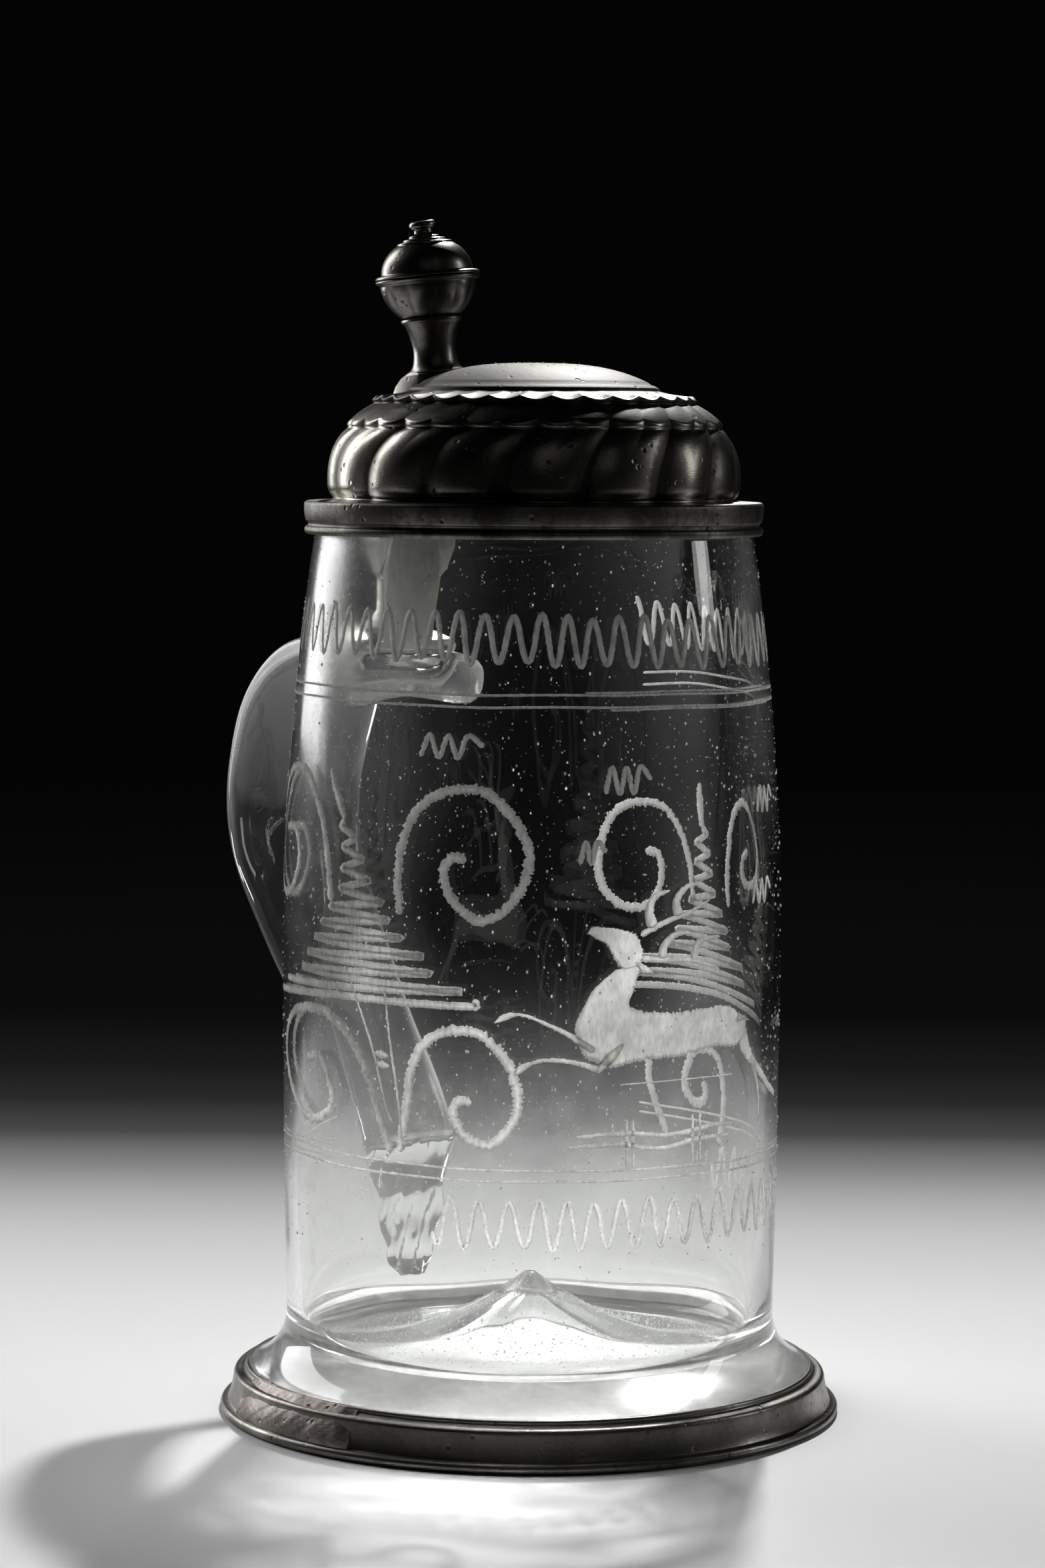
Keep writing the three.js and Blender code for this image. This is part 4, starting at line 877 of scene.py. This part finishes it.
grains = scattered("seeds_and_dust", around_axis(grain_radius, grain_angle, grain_height), grain_size)
pale_grains, grain_shader = finish("pale_grains", Base_Color=GRAIN_COLOR, Roughness=0.6)
grain_glow = node(pale_grains, "ShaderNodeBsdfTranslucent", {"Color": GRAIN_COLOR}).outputs[0]
show(pale_grains, blended(pale_grains, 0.6, grain_shader.outputs[0], grain_glow))
wear(grains, pale_grains, "vessel")


# Foot ring: cast pewter, sprung round the spread foot. Its rolled rim stands on the table, the
# wall leans in to a shoulder, and a bead above a groove grips the glass.
FOOT_RADIUS = 62.2
FOOT_WALL_RADIUS = 60.3
FOOT_BEAD_RADIUS = 57.0
FOOT_SHOULDER_HEIGHT = 8.0
FOOT_RIM_HEIGHT = 2.1
FOOT_LIP_HEIGHT = 1.5
FOOT_LIP_RADIUS = 48.4
PEWTER_SKIN = (0.06, 0.058, 0.05)
PEWTER_METAL = (0.3, 0.288, 0.26)


def foot_wall():
    """Outside of the ring above its rim: wall, shoulder, groove and top bead."""
    radius = FOOT_WALL_RADIUS
    shoulder, top = radius - 1.4, FOOT_SHOULDER_HEIGHT
    wall = bezier([(radius + 0.45, FOOT_RIM_HEIGHT), (radius - 0.35, 3.6), (shoulder + 0.6, 7.2)], 12)
    turn_in = bezier([wall[-1], (shoulder + 0.5, top), (shoulder - 0.35, top + 0.12)], 9)[1:]
    groove = bezier([turn_in[-1], (57.5, 8.1), (57.3, 8.5)], 7)[1:]
    bead = arc((FOOT_BEAD_RADIUS - 0.45, 8.95), (0.53, 0.53), -35, 100, 12)
    return np.concatenate([wall, turn_in, groove, bead])


def foot_profile():
    """Section of the ring as a loop: under the lip, the rolled rim, the wall, and the hollow
    that takes the edge of the glass foot."""
    inner = FOOT_LIP_RADIUS
    lip = [(inner + 0.3, 0), (FOOT_RADIUS - 1.6, 0)]
    rim = arc((FOOT_RADIUS - 1.05, FOOT_RIM_HEIGHT / 2), (1.05, FOOT_RIM_HEIGHT / 2), -80, 62, 16)
    hollow = arc((GRIP_RADIUS, 4.45), (2.1, 4.6), 75, -60, 16)
    under = [(inner + 2, FOOT_LIP_HEIGHT), (inner + 0.3, FOOT_LIP_HEIGHT), (inner, 1.2), (inner, 0.3)]
    return np.concatenate([lip, rim, foot_wall(), hollow, under])


def uneven(rings, amount, seed):
    """Cast and worn metal is never quite true: four sine waves round the piece, each finer and
    weaker, move each place in and out."""
    _, angle, height = polar(rings)
    turns = np.random.default_rng(seed).uniform(0, 2 * np.pi, 4)
    waves = sum(np.sin((k + 2) * angle + turns[k] + 0.05 * height) / (k + 1.5) for k in range(4))
    return pulled(rings, amount * waves)


def pewter_finish(name, dark, light, smooth, rough, pits=0.25):
    """Old pewter: warm grey metal, mottled by a thin dark skin that wear has polished through
    in places, with fine scratches and small pits. Where a piece carries a darkening attribute,
    it is darker and duller there: dirt in its hollows, and painted shade where the lamps'
    reflections are toned down. Each further mark adds its share to the tone, which runs the
    colour from dark to light and the roughness from rough to smooth."""
    made, shader = finish(name, Metallic=1.0)
    cloud = noise(made, 95, 5, (1, 1, 0.7))
    # The piece's dirt and painted shade, where it has them.
    recess = marked(made, "recess")
    tone = reckon(made, "MULTIPLY_ADD", noise(made, 900, 3), 0.35, cloud)
    tone = reckon(made, "MULTIPLY_ADD", recess, -0.6, tone)
    place = node(made, "ShaderNodeTexCoord").outputs["Object"]
    cells = {"Vector": place, "Scale": 420.0, "Randomness": 1.0}
    spots = node(made, "ShaderNodeTexVoronoi", cells).outputs["Distance"]
    few = between(made, noise(made, 130, 2), 0.5, 0.6)
    holes = reckon(made, "MULTIPLY", between(made, spots, 0.06, 0.24, -1.0, 0.0), few)
    tone = reckon(made, "MULTIPLY_ADD", holes, 0.35, tone)
    color = toned(made, between(made, tone, 0.35, 0.95), (*dark, 1), (*light, 1))
    dull = reckon(made, "MULTIPLY_ADD", recess, 0.2, between(made, tone, 0.35, 0.95, rough, smooth))
    relief = reckon(made, "MULTIPLY_ADD", noise(made, 700, 2, (1, 1, 7)), 0.12, holes)
    relief = reckon(made, "MULTIPLY_ADD", cloud, 0.8, relief)
    bump = node(made, "ShaderNodeBump", {"Height": relief, "Strength": pits, "Distance": 0.0004})
    drive(shader, Base_Color=color, Roughness=dull, Normal=bump.outputs[0])
    return made


pewter = pewter_finish("old_pewter", PEWTER_SKIN, PEWTER_METAL, smooth=0.26, rough=0.48)
foot_ring = skin("foot_ring_cast", uneven(turned(foot_profile(), 320), 0.12, 3), loop=True)
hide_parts("foot_ring")
wear(foot_ring, pewter, "vessel")


# Solder patch: a rough lump smeared with an iron over the joint of the foot ring. It hides the
# moulding, and its surface is pocked and scraped.
SOLDER_START = -108
SOLDER_END = -71
SOLDER_BODY = 0.75
SOLDER_SKIN = (0.1, 0.088, 0.08)
SOLDER_METAL = (0.36, 0.32, 0.3)


def lumps(a, b, seed):
    """Rough relief between about -1 and 1: three sine waves of random directions at each of five
    sizes, each size finer and weaker than the last."""
    random = np.random.default_rng(seed)
    total = 0 * a
    for k in range(5):
        for _ in range(3):
            turn = random.uniform(0, 2 * np.pi)
            slide = random.uniform(0, 2 * np.pi)
            total = total + np.sin(0.55 * 1.9**k * (np.cos(turn) * a + np.sin(turn) * b) + slide) / 1.6**k
    return total / 4.5


def solder_rings():
    """Rings across the patch: the ring's wall below, and over it a face that swells in the
    middle, thins out to ragged ends and is lumpy all over."""
    wall = foot_wall()
    share = np.linspace(0, 1, 150)[:, None]
    t = np.linspace(0, 1, 44)[None, :]
    angle = np.radians(SOLDER_START + (SOLDER_END - SOLDER_START) * share)
    end = ease(share, 0, 0.16) * ease(1 - share, 0, 0.1)
    first, last = wall[0], wall[-1]
    chord = first[0] + (last[0] - first[0]) * t**1.6
    height = first[1] + (last[1] - first[1]) * t
    rough = lumps(60 * angle, height * 1.6 + 0 * angle, 5)
    bulge = SOLDER_BODY * (0.25 + 0.75 * end) * (0.62 + 0.38 * np.sin(np.pi * t)) + 0.16 * rough
    face = around_axis(chord + np.maximum(bulge, 0.12), angle + 0 * t, height + 0.06 * rough)
    radius, height = along(t[0, ::-1], np.linspace(0, 1, len(wall)), wall).T[:, None]
    back = around_axis(radius - 0.4 + 0 * share, angle + 0 * radius, height + 0 * share)
    return np.concatenate([face, back], axis=1)


solder = pewter_finish("smeared_solder", SOLDER_SKIN, SOLDER_METAL, smooth=0.42, rough=0.62, pits=1.0)
patch = skin("foot_ring_solder_patch", solder_rings())
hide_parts("foot_ring_solder")
wear(patch, solder, "vessel")


# Collar, hinge strap and pin: a pewter band closed round the handle's root carries the strap,
# which runs up the glass to three fixed knuckles. The pin is peened at both ends.
STRAP_HALF = 7
TOOL_HALF = 20
# A paler copy of the pewter: painted light on the collar, strap and pin, which are seen through the glass.
PAINTED_LIGHT_SKIN = (0.3, 0.29, 0.26)
PAINTED_LIGHT_METAL = (0.6, 0.585, 0.54)


def softened(label, width, body, surface, tool=None):
    """A pewter copy of a solid from the frame, its loose faces joined and its edges rounded. A
    tool keeps only the part inside it."""
    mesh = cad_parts[label].data.copy()
    piece = placed(label + "_finished", mesh)
    work = bmesh.new()
    work.from_mesh(mesh)
    bmesh.ops.remove_doubles(work, verts=work.verts, dist=2e-6)
    bmesh.ops.dissolve_limit(work, angle_limit=math.radians(1.5), verts=work.verts, edges=work.edges)
    work.to_mesh(mesh)
    work.free()
    if tool:
        cut_by(piece, tool, "INTERSECT")
    rounded = piece.modifiers.new("rounded_edges", "BEVEL")
    rounded.width = width * MM
    rounded.segments = 3
    rounded.limit_method = "ANGLE"
    rounded.angle_limit = math.radians(28)
    rounded.harden_normals = True
    piece.data.polygons.foreach_set("use_smooth", np.ones(len(piece.data.polygons), bool))
    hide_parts(label)
    wear(piece, surface, body)


def strap_waist():
    """The tool that narrows the strap between collar and knuckles: a block behind the axis whose
    sides draw in and out again by an eased curve."""
    height = np.concatenate([[130, 149], np.linspace(150, 172, 23), [173, 200]])[:, None]
    drawn_in = ease(height, 149, 153) * (1 - ease(height, 166, 172.5))
    half = TOOL_HALF - (TOOL_HALF - STRAP_HALF) * drawn_in
    side, back = np.array([[-1, 1, 1, -1], [0, 0, 1, 1]])
    return np.stack([half * side, 35 + 45 * back + 0 * half, height + 0 * side], axis=-1)


# Painted light: the collar, strap and pin take the paler pewter.
pewter_with_painted_light = pewter_finish("pale_pewter_painted_light", PAINTED_LIGHT_SKIN, PAINTED_LIGHT_METAL, smooth=0.3, rough=0.5)
softened("hinge_strap", 0.45, "vessel", pewter_with_painted_light, skin("strap_waist", strap_waist()))
softened("handle_collar", 0.5, "vessel", pewter_with_painted_light)
softened("hinge_pin", 0.2, "vessel", pewter_with_painted_light)


# Lid: cast pewter. A moulded band overlaps the rim of the glass, and the dome above it rises
# in broad lobes that lean to one side, to two steps with scalloped edges and a smooth boss.
# The grooves hold dirt, and the crests are worn bright.
BAND_RADIUS = 45.7
SKIRT_RADIUS = 44.1
SKIRT_HEIGHT = 175.5
SEAT_HEIGHT = 181.0
FLANGE_TOP = 182.4
DOME_RADIUS = 41.1
LOWER_STEP = (37.4, 15.5)
UPPER_STEP = (32.2, 20.1)
BOSS_RADIUS = 24.5
BOSS_HEIGHT = 22.5
BOSS_RISE = 4.9
BOSS_CROWN = 2.9
LOBES = 16
LOBE_DEPTH = 1.25
SCALLOP_DEPTH = 0.75
WALL_TWIST = 10
TOP_TWIST = 15
LID_WALL = 1.6
LID_SIDES = 576
# Painted shade: how much the band, the boss and the steps are darkened and dulled, to tone down the lamps'
# reflections.
BAND_PAINTED_SHADE = 0.4
BOSS_PAINTED_SHADE = 1.1
STEP_PAINTED_SHADE = 0.7
DOME_SKIN = (0.06, 0.057, 0.048)
DOME_METAL = (0.42, 0.405, 0.36)


def station(points, lobe=0, scallop=0, lift=0, twist=0):
    """Rows of radius, height, and how much of each ornament its ring carries."""
    ornament = [value + np.zeros(len(points)) for value in (lobe, scallop, lift, twist)]
    return np.column_stack([points, *ornament])


def dome_stations():
    """Crest line of the lid from the boss down to the foot of the dome. The boss is crowned as a
    power of the way outwards, with a fine groove near its edge."""
    share = np.linspace(0.02, 1, 34)
    rise = BOSS_HEIGHT + BOSS_RISE * (1 - share**BOSS_CROWN)
    rise = rise - 0.22 * np.exp(-(((share - 0.945) / 0.011) ** 2))
    boss = station(np.stack([share * BOSS_RADIUS, rise], axis=1))
    side = BOSS_RADIUS + 0.25
    edge = bezier([(BOSS_RADIUS, BOSS_HEIGHT), (side, BOSS_HEIGHT - 0.1), (side, 21.9)], 5)
    lip = station(edge[1:], twist=TOP_TWIST + 3)
    t = np.linspace(0, 1, 13)
    top = bezier([(25.1, 21.8), (27.2, 20.75), UPPER_STEP], 13)
    top = station(top, 0, t**1.5, t, TOP_TWIST + 3 - 3 * t)
    radius, height = UPPER_STEP
    over = bezier([UPPER_STEP, (radius + 0.25, height - 0.3), (radius - 0.35, 19.4)], 6)[1:]
    over = station(over, 0, 1, np.linspace(0.8, 0, 5), TOP_TWIST)
    t = np.linspace(0, 1, 13)[1:]
    step = bezier([(31.85, 19.4), (35.5, 17.6), LOWER_STEP], 13)[1:]
    step = station(step, 0.5 * t, 0.95, t, TOP_TWIST + (WALL_TWIST - TOP_TWIST) * t)
    under = bezier([LOWER_STEP, (LOWER_STEP[0] + 0.3, 15.1), (LOWER_STEP[0] - 0.05, 14.5)], 6)[1:]
    under = station(under, 0.6, np.linspace(0.9, 0.6, 5), np.linspace(0.8, 0, 5), WALL_TWIST)
    t = np.linspace(0, 1, 25)[1:]
    wall = bezier([(37.35, 14.5), (DOME_RADIUS + 0.15, 11.3), (DOME_RADIUS, 3.6)], 25)[1:]
    wall = station(wall, 0.6 + 0.4 * t, 0.6 * (1 - t) ** 2.5, 0, WALL_TWIST * (1 - t) ** 1.5)
    tuck = bezier([(DOME_RADIUS, 3.6), (DOME_RADIUS, 1.5), (DOME_RADIUS - 1.3, 0.55)], 9)[1:]
    tuck = station(tuck, np.linspace(1, 0.75, 8))
    return np.concatenate([boss, lip, top, over, step, under, wall, tuck])


def band_stations():
    """Outside of the moulded band: flat flange, rounded edge, face, groove and lower bead."""
    flange = bezier([(DOME_RADIUS - 0.6, 0.25), (43, 0.0), (BAND_RADIUS - 0.9, 0.0)], 5)
    edge = arc((BAND_RADIUS - 0.75, -0.75), (0.75, 0.75), 75, 0, 7)
    face = bezier([(BAND_RADIUS, -0.9), (BAND_RADIUS + 0.05, -2.5), (BAND_RADIUS - 0.3, -3.7)], 6)
    groove = bezier([(BAND_RADIUS - 0.35, -3.9), (BAND_RADIUS - 1.2, -4.45), (BAND_RADIUS - 0.65, -4.95)], 6)
    bead = arc((BAND_RADIUS - 0.75, -5.75), (0.68, 0.85), 60, -70, 9)
    return station(np.concatenate([flange, edge, face, groove, bead]))


def inner_stations():
    """Inside of the lid: skirt, seat on the rim, plain hollow of the dome."""
    room = LID_WALL + LOBE_DEPTH
    seat = SEAT_HEIGHT - FLANGE_TOP
    foot = SKIRT_HEIGHT - FLANGE_TOP + 0.3
    skirt = [(SKIRT_RADIUS, foot), (SKIRT_RADIUS, seat - 0.2), (SKIRT_RADIUS - 0.2, seat)]
    dome, lower, upper = [radius - room for radius in (DOME_RADIUS, LOWER_STEP[0], UPPER_STEP[0])]
    hollow = bezier([(dome - 1, seat), (dome + 0.6, 8), (lower, 13)], 10)
    crown = bezier([(lower - 0.3, 13.4), (upper, 18.5), (18, 21.3), (1, 24.8)], 14)
    return station(np.concatenate([skirt, hollow, crown]))


def lobed(stations):
    """Rings of the lid, and how much each place is darkened, by dirt in the grooves and by painted
    shade elsewhere. Round each ring, broad lobes and twice as many scallops draw it in between
    their crests, by one less a sine's size, so with sharp bottoms. The lift raises the scallops'
    corners, and the twist turns the ring. Dirt lies deep in the grooves. The band, the boss and the
    tops of the steps are darkened evenly, a painted shade that tones down the lamps' reflections."""
    angle = np.linspace(0, 2 * np.pi, LID_SIDES, endpoint=False)[None, :]
    radius, height, lobe, scallop, lift, twist = [stations[:, k : k + 1] for k in range(6)]
    groove = 1 - np.abs(np.sin(LOBES * angle / 2)) ** 0.9
    notch = 1 - np.abs(np.sin(LOBES * angle))
    drawn = radius - lobe * LOBE_DEPTH * groove - scallop * SCALLOP_DEPTH * notch
    rise = height + lift * SCALLOP_DEPTH * notch + FLANGE_TOP
    recess = lobe * np.clip(groove * 1.6 - 0.6, 0, 1)
    recess = recess + 0.6 * scallop * np.clip(notch * 1.6 - 0.8, 0, 1) * (lift < 0.5)
    on_boss = (radius < BOSS_RADIUS + 0.3) * (height > 20)
    on_step = (radius > BOSS_RADIUS + 0.4) * (height > LOWER_STEP[1] + 0.2) * (height != UPPER_STEP[1])
    # Painted shade on the band, the boss and the steps.
    recess = recess + BAND_PAINTED_SHADE * (height < 0) + BOSS_PAINTED_SHADE * on_boss + STEP_PAINTED_SHADE * on_step
    return around_axis(drawn, angle + np.radians(twist), rise), recess


lid_rings, lid_recess = lobed(np.concatenate([dome_stations(), band_stations(), inner_stations()]))
lid = skin("lid_cast", uneven(lid_rings, 0.1, 8), recess=lid_recess)
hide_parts("lid")
dome_pewter = pewter_finish("dome_pewter", DOME_SKIN, DOME_METAL, smooth=0.24, rough=0.36, pits=0.5)
wear(lid, dome_pewter, "lid")


# Dust on the lid: pale specks that have settled on the smooth boss, made as the same little
# grains as those on the glass. They ride on the lid.
LID_GRAINS = 420
speck_random = np.random.default_rng(12)
speck_reach = speck_random.random(LID_GRAINS) ** 0.5
speck_height = FLANGE_TOP + BOSS_HEIGHT + BOSS_RISE * (1 - speck_reach**BOSS_CROWN) + 0.04
speck_angle = speck_random.uniform(0, 2 * np.pi, LID_GRAINS)
speck_size = 0.05 + 0.13 * speck_random.random(LID_GRAINS) ** 3
speck_middle = around_axis(speck_reach * (BOSS_RADIUS - 0.6), speck_angle, speck_height)
wear(scattered("dust_on_the_lid", speck_middle, speck_size), pale_grains, "lid")


# Hinge arm: a pewter strap with two knuckles on the pin, bent up over the back of the dome.
# The thumbpiece is soldered on its rounded seat.
THUMB_DISTANCE = 34.4
# The seat's outline about the thumbpiece's axis, and round it a block that holds the whole arm.
ARM_SEAT = [(0.5, 208.4), (5.6, 208.2), (7.2, 206.8), (8.5, 205.1), (9.2, 203.3)]
ARM_BLOCK = [(70, 203.3), (70, 150), (0.5, 150)]
seat_tool = skin("seat_tool", turned(np.array(ARM_SEAT + ARM_BLOCK), 96) + [0, THUMB_DISTANCE, 0])
softened("lid_arm", 0.6, "lid", pewter, seat_tool)


# Thumbpiece: a trumpet-shaped stem, a hollow ball soldered from two halves under a ring, and a
# small button on top. It leans a little outwards and to the left.
THUMB_SEAT = 208.2
THUMB_LEAN = 5.5
STEM_HEIGHT = 11.2
STEM_NECK = 4.25
STEM_COLLAR = 6.2
BALL_RADIUS = 9.9
BALL_RING_RADIUS = 10.7
BALL_HEIGHT = 14.6
BALL_WALL = 1.5
BALL_BASE = STEM_HEIGHT + 0.3
EQUATOR = BALL_BASE + 0.53 * BALL_HEIGHT
BALL_TOP = BALL_BASE + BALL_HEIGHT
KNOP_RADIUS = 2.7
KNOP_HEIGHT = 2.4
KNOP_TILT = 5
FLUTES = 12
FLUTE_DEPTH = 0.28
THUMB_METAL = (0.32, 0.31, 0.28)


def leaned(rings):
    """Leans upright rings by the thumbpiece's lean, outwards and to the left, onto its seat."""
    lean = Vector((-0.81, 0.59, 0)) * math.tan(math.radians(THUMB_LEAN)) + Vector((0, 0, 1))
    turned_by = np.array(Vector((0, 0, 1)).rotation_difference(lean).to_matrix())
    return rings @ turned_by.T + [0, THUMB_DISTANCE, THUMB_SEAT]


def ball_line(middle, radius, narrow, height, count):
    """Quarter of the ball's outline, from its widest place to a narrower one at a height."""
    turn_to = math.degrees(math.acos(narrow / radius))
    stretch = abs(height) / math.sin(math.radians(turn_to))
    return arc((0, middle), (radius, stretch), 0, math.copysign(turn_to, height), count)


def stem_profile():
    """The stem: a wide foot drawn in to a neck and out again to a thin collar under the ball."""
    neck, edge = STEM_NECK, STEM_COLLAR - 0.45
    flare = bezier([(STEM_COLLAR - 0.5, 0.3), (neck - 0.1, 1.2), (neck - 0.1, 4.2), (neck + 0.1, 5.5)], 20)
    bell = bezier([flare[-1], (neck + 0.5, 8), (STEM_COLLAR - 1.1, 9), (edge, STEM_HEIGHT - 1)], 16)
    collar = arc((edge, STEM_HEIGHT - 0.5), (0.45, 0.5), -60, 90, 8)
    return np.concatenate([[(0.5, 0.3)], flare, bell[1:], collar, [(0.5, STEM_HEIGHT)]])


def lower_profile():
    """Lower half of the ball with its half of the ring, and the hollow inside."""
    middle = EQUATOR - 0.9
    rise = middle - BALL_BASE
    outside = ball_line(middle, BALL_RADIUS, STEM_COLLAR - 0.2, -rise, 24)[::-1]
    inside = ball_line(middle, BALL_RADIUS - BALL_WALL, STEM_COLLAR / 2, BALL_WALL - rise, 12)
    below, beside = (BALL_RADIUS + 0.05, EQUATOR - 0.85), (BALL_RING_RADIUS + 0.1, EQUATOR - 0.75)
    ring = bezier([below, beside, (BALL_RING_RADIUS, EQUATOR)], 8)
    rim = [(BALL_RADIUS - BALL_WALL, EQUATOR)]
    return np.concatenate([[(0.5, BALL_BASE)], outside, ring, rim, inside, [(0.5, BALL_BASE + BALL_WALL)]])


def upper_profile():
    """Upper half of the ball with the other half of the ring, and three turned steps on top."""
    base = EQUATOR + 0.3
    middle = base + 0.8
    radius = BALL_RADIUS - 0.5
    crown = STEM_COLLAR - 0.4
    outside = ball_line(middle, radius, crown, BALL_TOP - middle, 24)
    inside = ball_line(middle, radius - BALL_WALL, crown - 1, BALL_TOP - middle - BALL_WALL, 10)[::-1]
    ring = bezier([(BALL_RING_RADIUS, base), (BALL_RING_RADIUS, base + 0.75), (radius + 0.1, base + 0.8)], 8)
    places = [(crown - 0.5 - 1.25 * k, BALL_TOP + 0.2 + 0.65 * k) for k in range(3)]
    steps = [arc(place, (0.3, 0.33), -20, 90, 7) for place in places]
    start = [(0.5, BALL_TOP - BALL_WALL)]
    rim = [(radius - BALL_WALL, base)]
    return np.concatenate([start, inside, rim, ring, outside, *steps, [(0.5, BALL_TOP + 2)]])


def gadrooned(rings):
    """Draws faint upright flutes into the ball's side, deepest half way up: one less a sine's
    size round it, times a sine up it, and shallower near the axis."""
    radius, angle, height = polar(rings)
    share = (height - BALL_BASE) / (EQUATOR - BALL_BASE)
    flute = (1 - np.abs(np.sin(FLUTES * angle / 2))) * np.clip(np.sin(np.pi * share), 0, 1)
    return pulled(rings, -FLUTE_DEPTH * flute * (radius > STEM_COLLAR - 0.5) * radius / BALL_RADIUS)


def knop_rings():
    """The button: a short neck under a small tilted disc."""
    neck = bezier([(2.0, -0.1), (1.75, 0.4), (1.9, 0.9)], 6)
    disc = arc((KNOP_RADIUS - 0.7, 0.66 * KNOP_HEIGHT), (0.7, 0.34 * KNOP_HEIGHT), -65, 90, 14)
    rings = turned(np.concatenate([[(0.3, 0)], neck, disc, [(0.3, KNOP_HEIGHT - 0.1)]]), 64)
    tilt = np.array(Matrix.Rotation(-math.radians(KNOP_TILT), 3, "Y"))
    return rings @ tilt.T + [0, 0, BALL_TOP + 2.45]


thumb_pewter = pewter_finish("thumbpiece_pewter", PEWTER_SKIN, THUMB_METAL, smooth=0.22, rough=0.42)
thumb_pieces = (
    ("thumbpiece_stem", uneven(turned(stem_profile(), 128), 0.06, 21)),
    ("thumbpiece_lower_half", gadrooned(uneven(turned(lower_profile(), 192), 0.06, 22))),
    ("thumbpiece_upper_half", uneven(turned(upper_profile(), 160), 0.05, 23)),
    ("thumbpiece_knop", knop_rings()),
)
for label, rings in thumb_pieces:
    piece = skin(label + "_turned", leaned(rings))
    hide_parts(label)
    wear(piece, thumb_pewter, "lid")


# Camera: at the height of the lid, turned to the left of the front, level but for a slight dip.
# Its distance, height and lens were fitted to the outline in the photograph.
CAMERA_DISTANCE = 0.886
CAMERA_HEIGHT = 0.1966
CAMERA_AZIMUTH = -36.0
CAMERA_PAN = 0.13
CAMERA_DIP = 4.56
CAMERA_ROLL = 0.33
CAMERA_LENS = 102.0
turn = math.radians(CAMERA_AZIMUTH)
toward_right = Vector((math.cos(turn), math.sin(turn), 0))
away = Vector((-math.sin(turn), math.cos(turn), 0))
camera = bpy.data.cameras.new("camera")
camera.lens = CAMERA_LENS
camera.sensor_width = 36.0
camera.clip_start = 0.05
eye = placed("camera", camera)
base = Vector((0, AXIS_Y, 0))
stand = base + Vector((0, 0, CAMERA_HEIGHT)) - CAMERA_DISTANCE * away
look = Matrix.Rotation(turn + math.radians(CAMERA_PAN), 4, "Z")
look = look @ Matrix.Rotation(math.radians(90 - CAMERA_DIP), 4, "X")
look = look @ Matrix.Rotation(math.radians(CAMERA_ROLL), 4, "Z")
eye.matrix_world = Matrix.Translation(stand) @ look
bpy.context.scene.camera = eye
bpy.context.scene.view_settings.view_transform = "Standard"


# Floor and room: a pale floor in a black room. Its colour fades out away from the camera, a
# painted falloff of the lamps' light, and again close to it, by letting the room show through.
FLOOR_SIZE = 4.0
FLOOR_COLOR = (0.78, 0.78, 0.78, 1)
ROOM_COLOR = (0.0012, 0.0012, 0.0012, 1)
NEAR_END = -0.5
NEAR_START = -0.16
PAINTED_FALLOFF_END = 0.6
# How much of the floor is left at each share of the way from the vessel's axis to the fade's end: the painted
# falloff of the light.
PAINTED_FALLOFF = ((0, 1), (0.06, 0.97), (0.18, 0.83), (0.32, 0.6), (0.4, 0.427), (0.485, 0.222), (0.58, 0.058))
PAINTED_FALLOFF += ((0.68, 0.019), (0.8, 0.0076), (1, 0.002))
floor_mesh = bpy.data.meshes.new("floor")
half = FLOOR_SIZE / 2
corners = [(-half, -half, 0), (half, -half, 0), (half, half, 0), (-half, half, 0)]
floor_mesh.from_pydata(corners, [], [(0, 1, 2, 3)])
floor = placed("floor", floor_mesh)
pale_floor, floor_shader = finish("pale_floor", Base_Color=FLOOR_COLOR, Roughness=0.7)
spot = node(pale_floor, "ShaderNodeTexCoord").outputs["Object"]
offset = node(pale_floor, "ShaderNodeVectorMath", {0: spot, 1: base}, operation="SUBTRACT").outputs[0]
depth = node(pale_floor, "ShaderNodeVectorMath", {0: offset, 1: away}, operation="DOT_PRODUCT")
depth = depth.outputs["Value"]
# Painted falloff of the light: the floor darkens with distance away from the camera.
fade = node(pale_floor, "ShaderNodeValToRGB", {"Fac": between(pale_floor, depth, 0, PAINTED_FALLOFF_END)})
stops = fade.color_ramp.elements
for k, (share, level) in enumerate(PAINTED_FALLOFF):
    stop = stops[k] if k < 2 else stops.new(share)
    stop.position = share
    stop.color = (level, level, level, 1)
near = between(pale_floor, depth, NEAR_END, NEAR_START)
left_over = reckon(pale_floor, "MULTIPLY", fade.outputs[0], near)
nothing = node(pale_floor, "ShaderNodeBsdfTransparent").outputs[0]
show(pale_floor, blended(pale_floor, left_over, nothing, floor_shader.outputs[0]))
floor.data.materials.append(pale_floor)
world = bpy.context.scene.world or bpy.data.worlds.new("room")
bpy.context.scene.world = world
world.use_nodes = True
world.node_tree.nodes["Background"].inputs[0].default_value = ROOM_COLOR


# Lamps: a small one behind and a little to the right throws the shadow to the front. A tall soft
# one stands behind at the left, a dim soft one at the right, and a faint one in front.
AIM_HEIGHT = 0.1
# Each lamp's name, how far it stands to the right, away and up, its width and height in metres,
# and its power in watts.
LAMPS = (
    ("lamp_behind", 0.14, 0.93, 0.96, (0.055, 0.055), 15.6),
    ("tall_lamp_left", -0.64, 0.55, 0.44, (0.4, 0.7), 4.7),
    ("dim_lamp_right", 0.95, 0.1, 0.5, (0.16, 0.5), 0.85),
    ("faint_lamp_front", 0.25, -1.1, 0.9, (1.0, 0.8), 0.14),
)
for name, side, back, height, size, power in LAMPS:
    lamp = bpy.data.lights.new(name, "AREA")
    lamp.shape = "RECTANGLE"
    lamp.size, lamp.size_y = size
    lamp.energy = power
    holder = placed(name, lamp)
    holder.location = base + toward_right * side + away * back + Vector((0, 0, height))
    aim = base + Vector((0, 0, AIM_HEIGHT)) - holder.location
    holder.rotation_euler = aim.to_track_quat("-Z", "Y").to_euler()
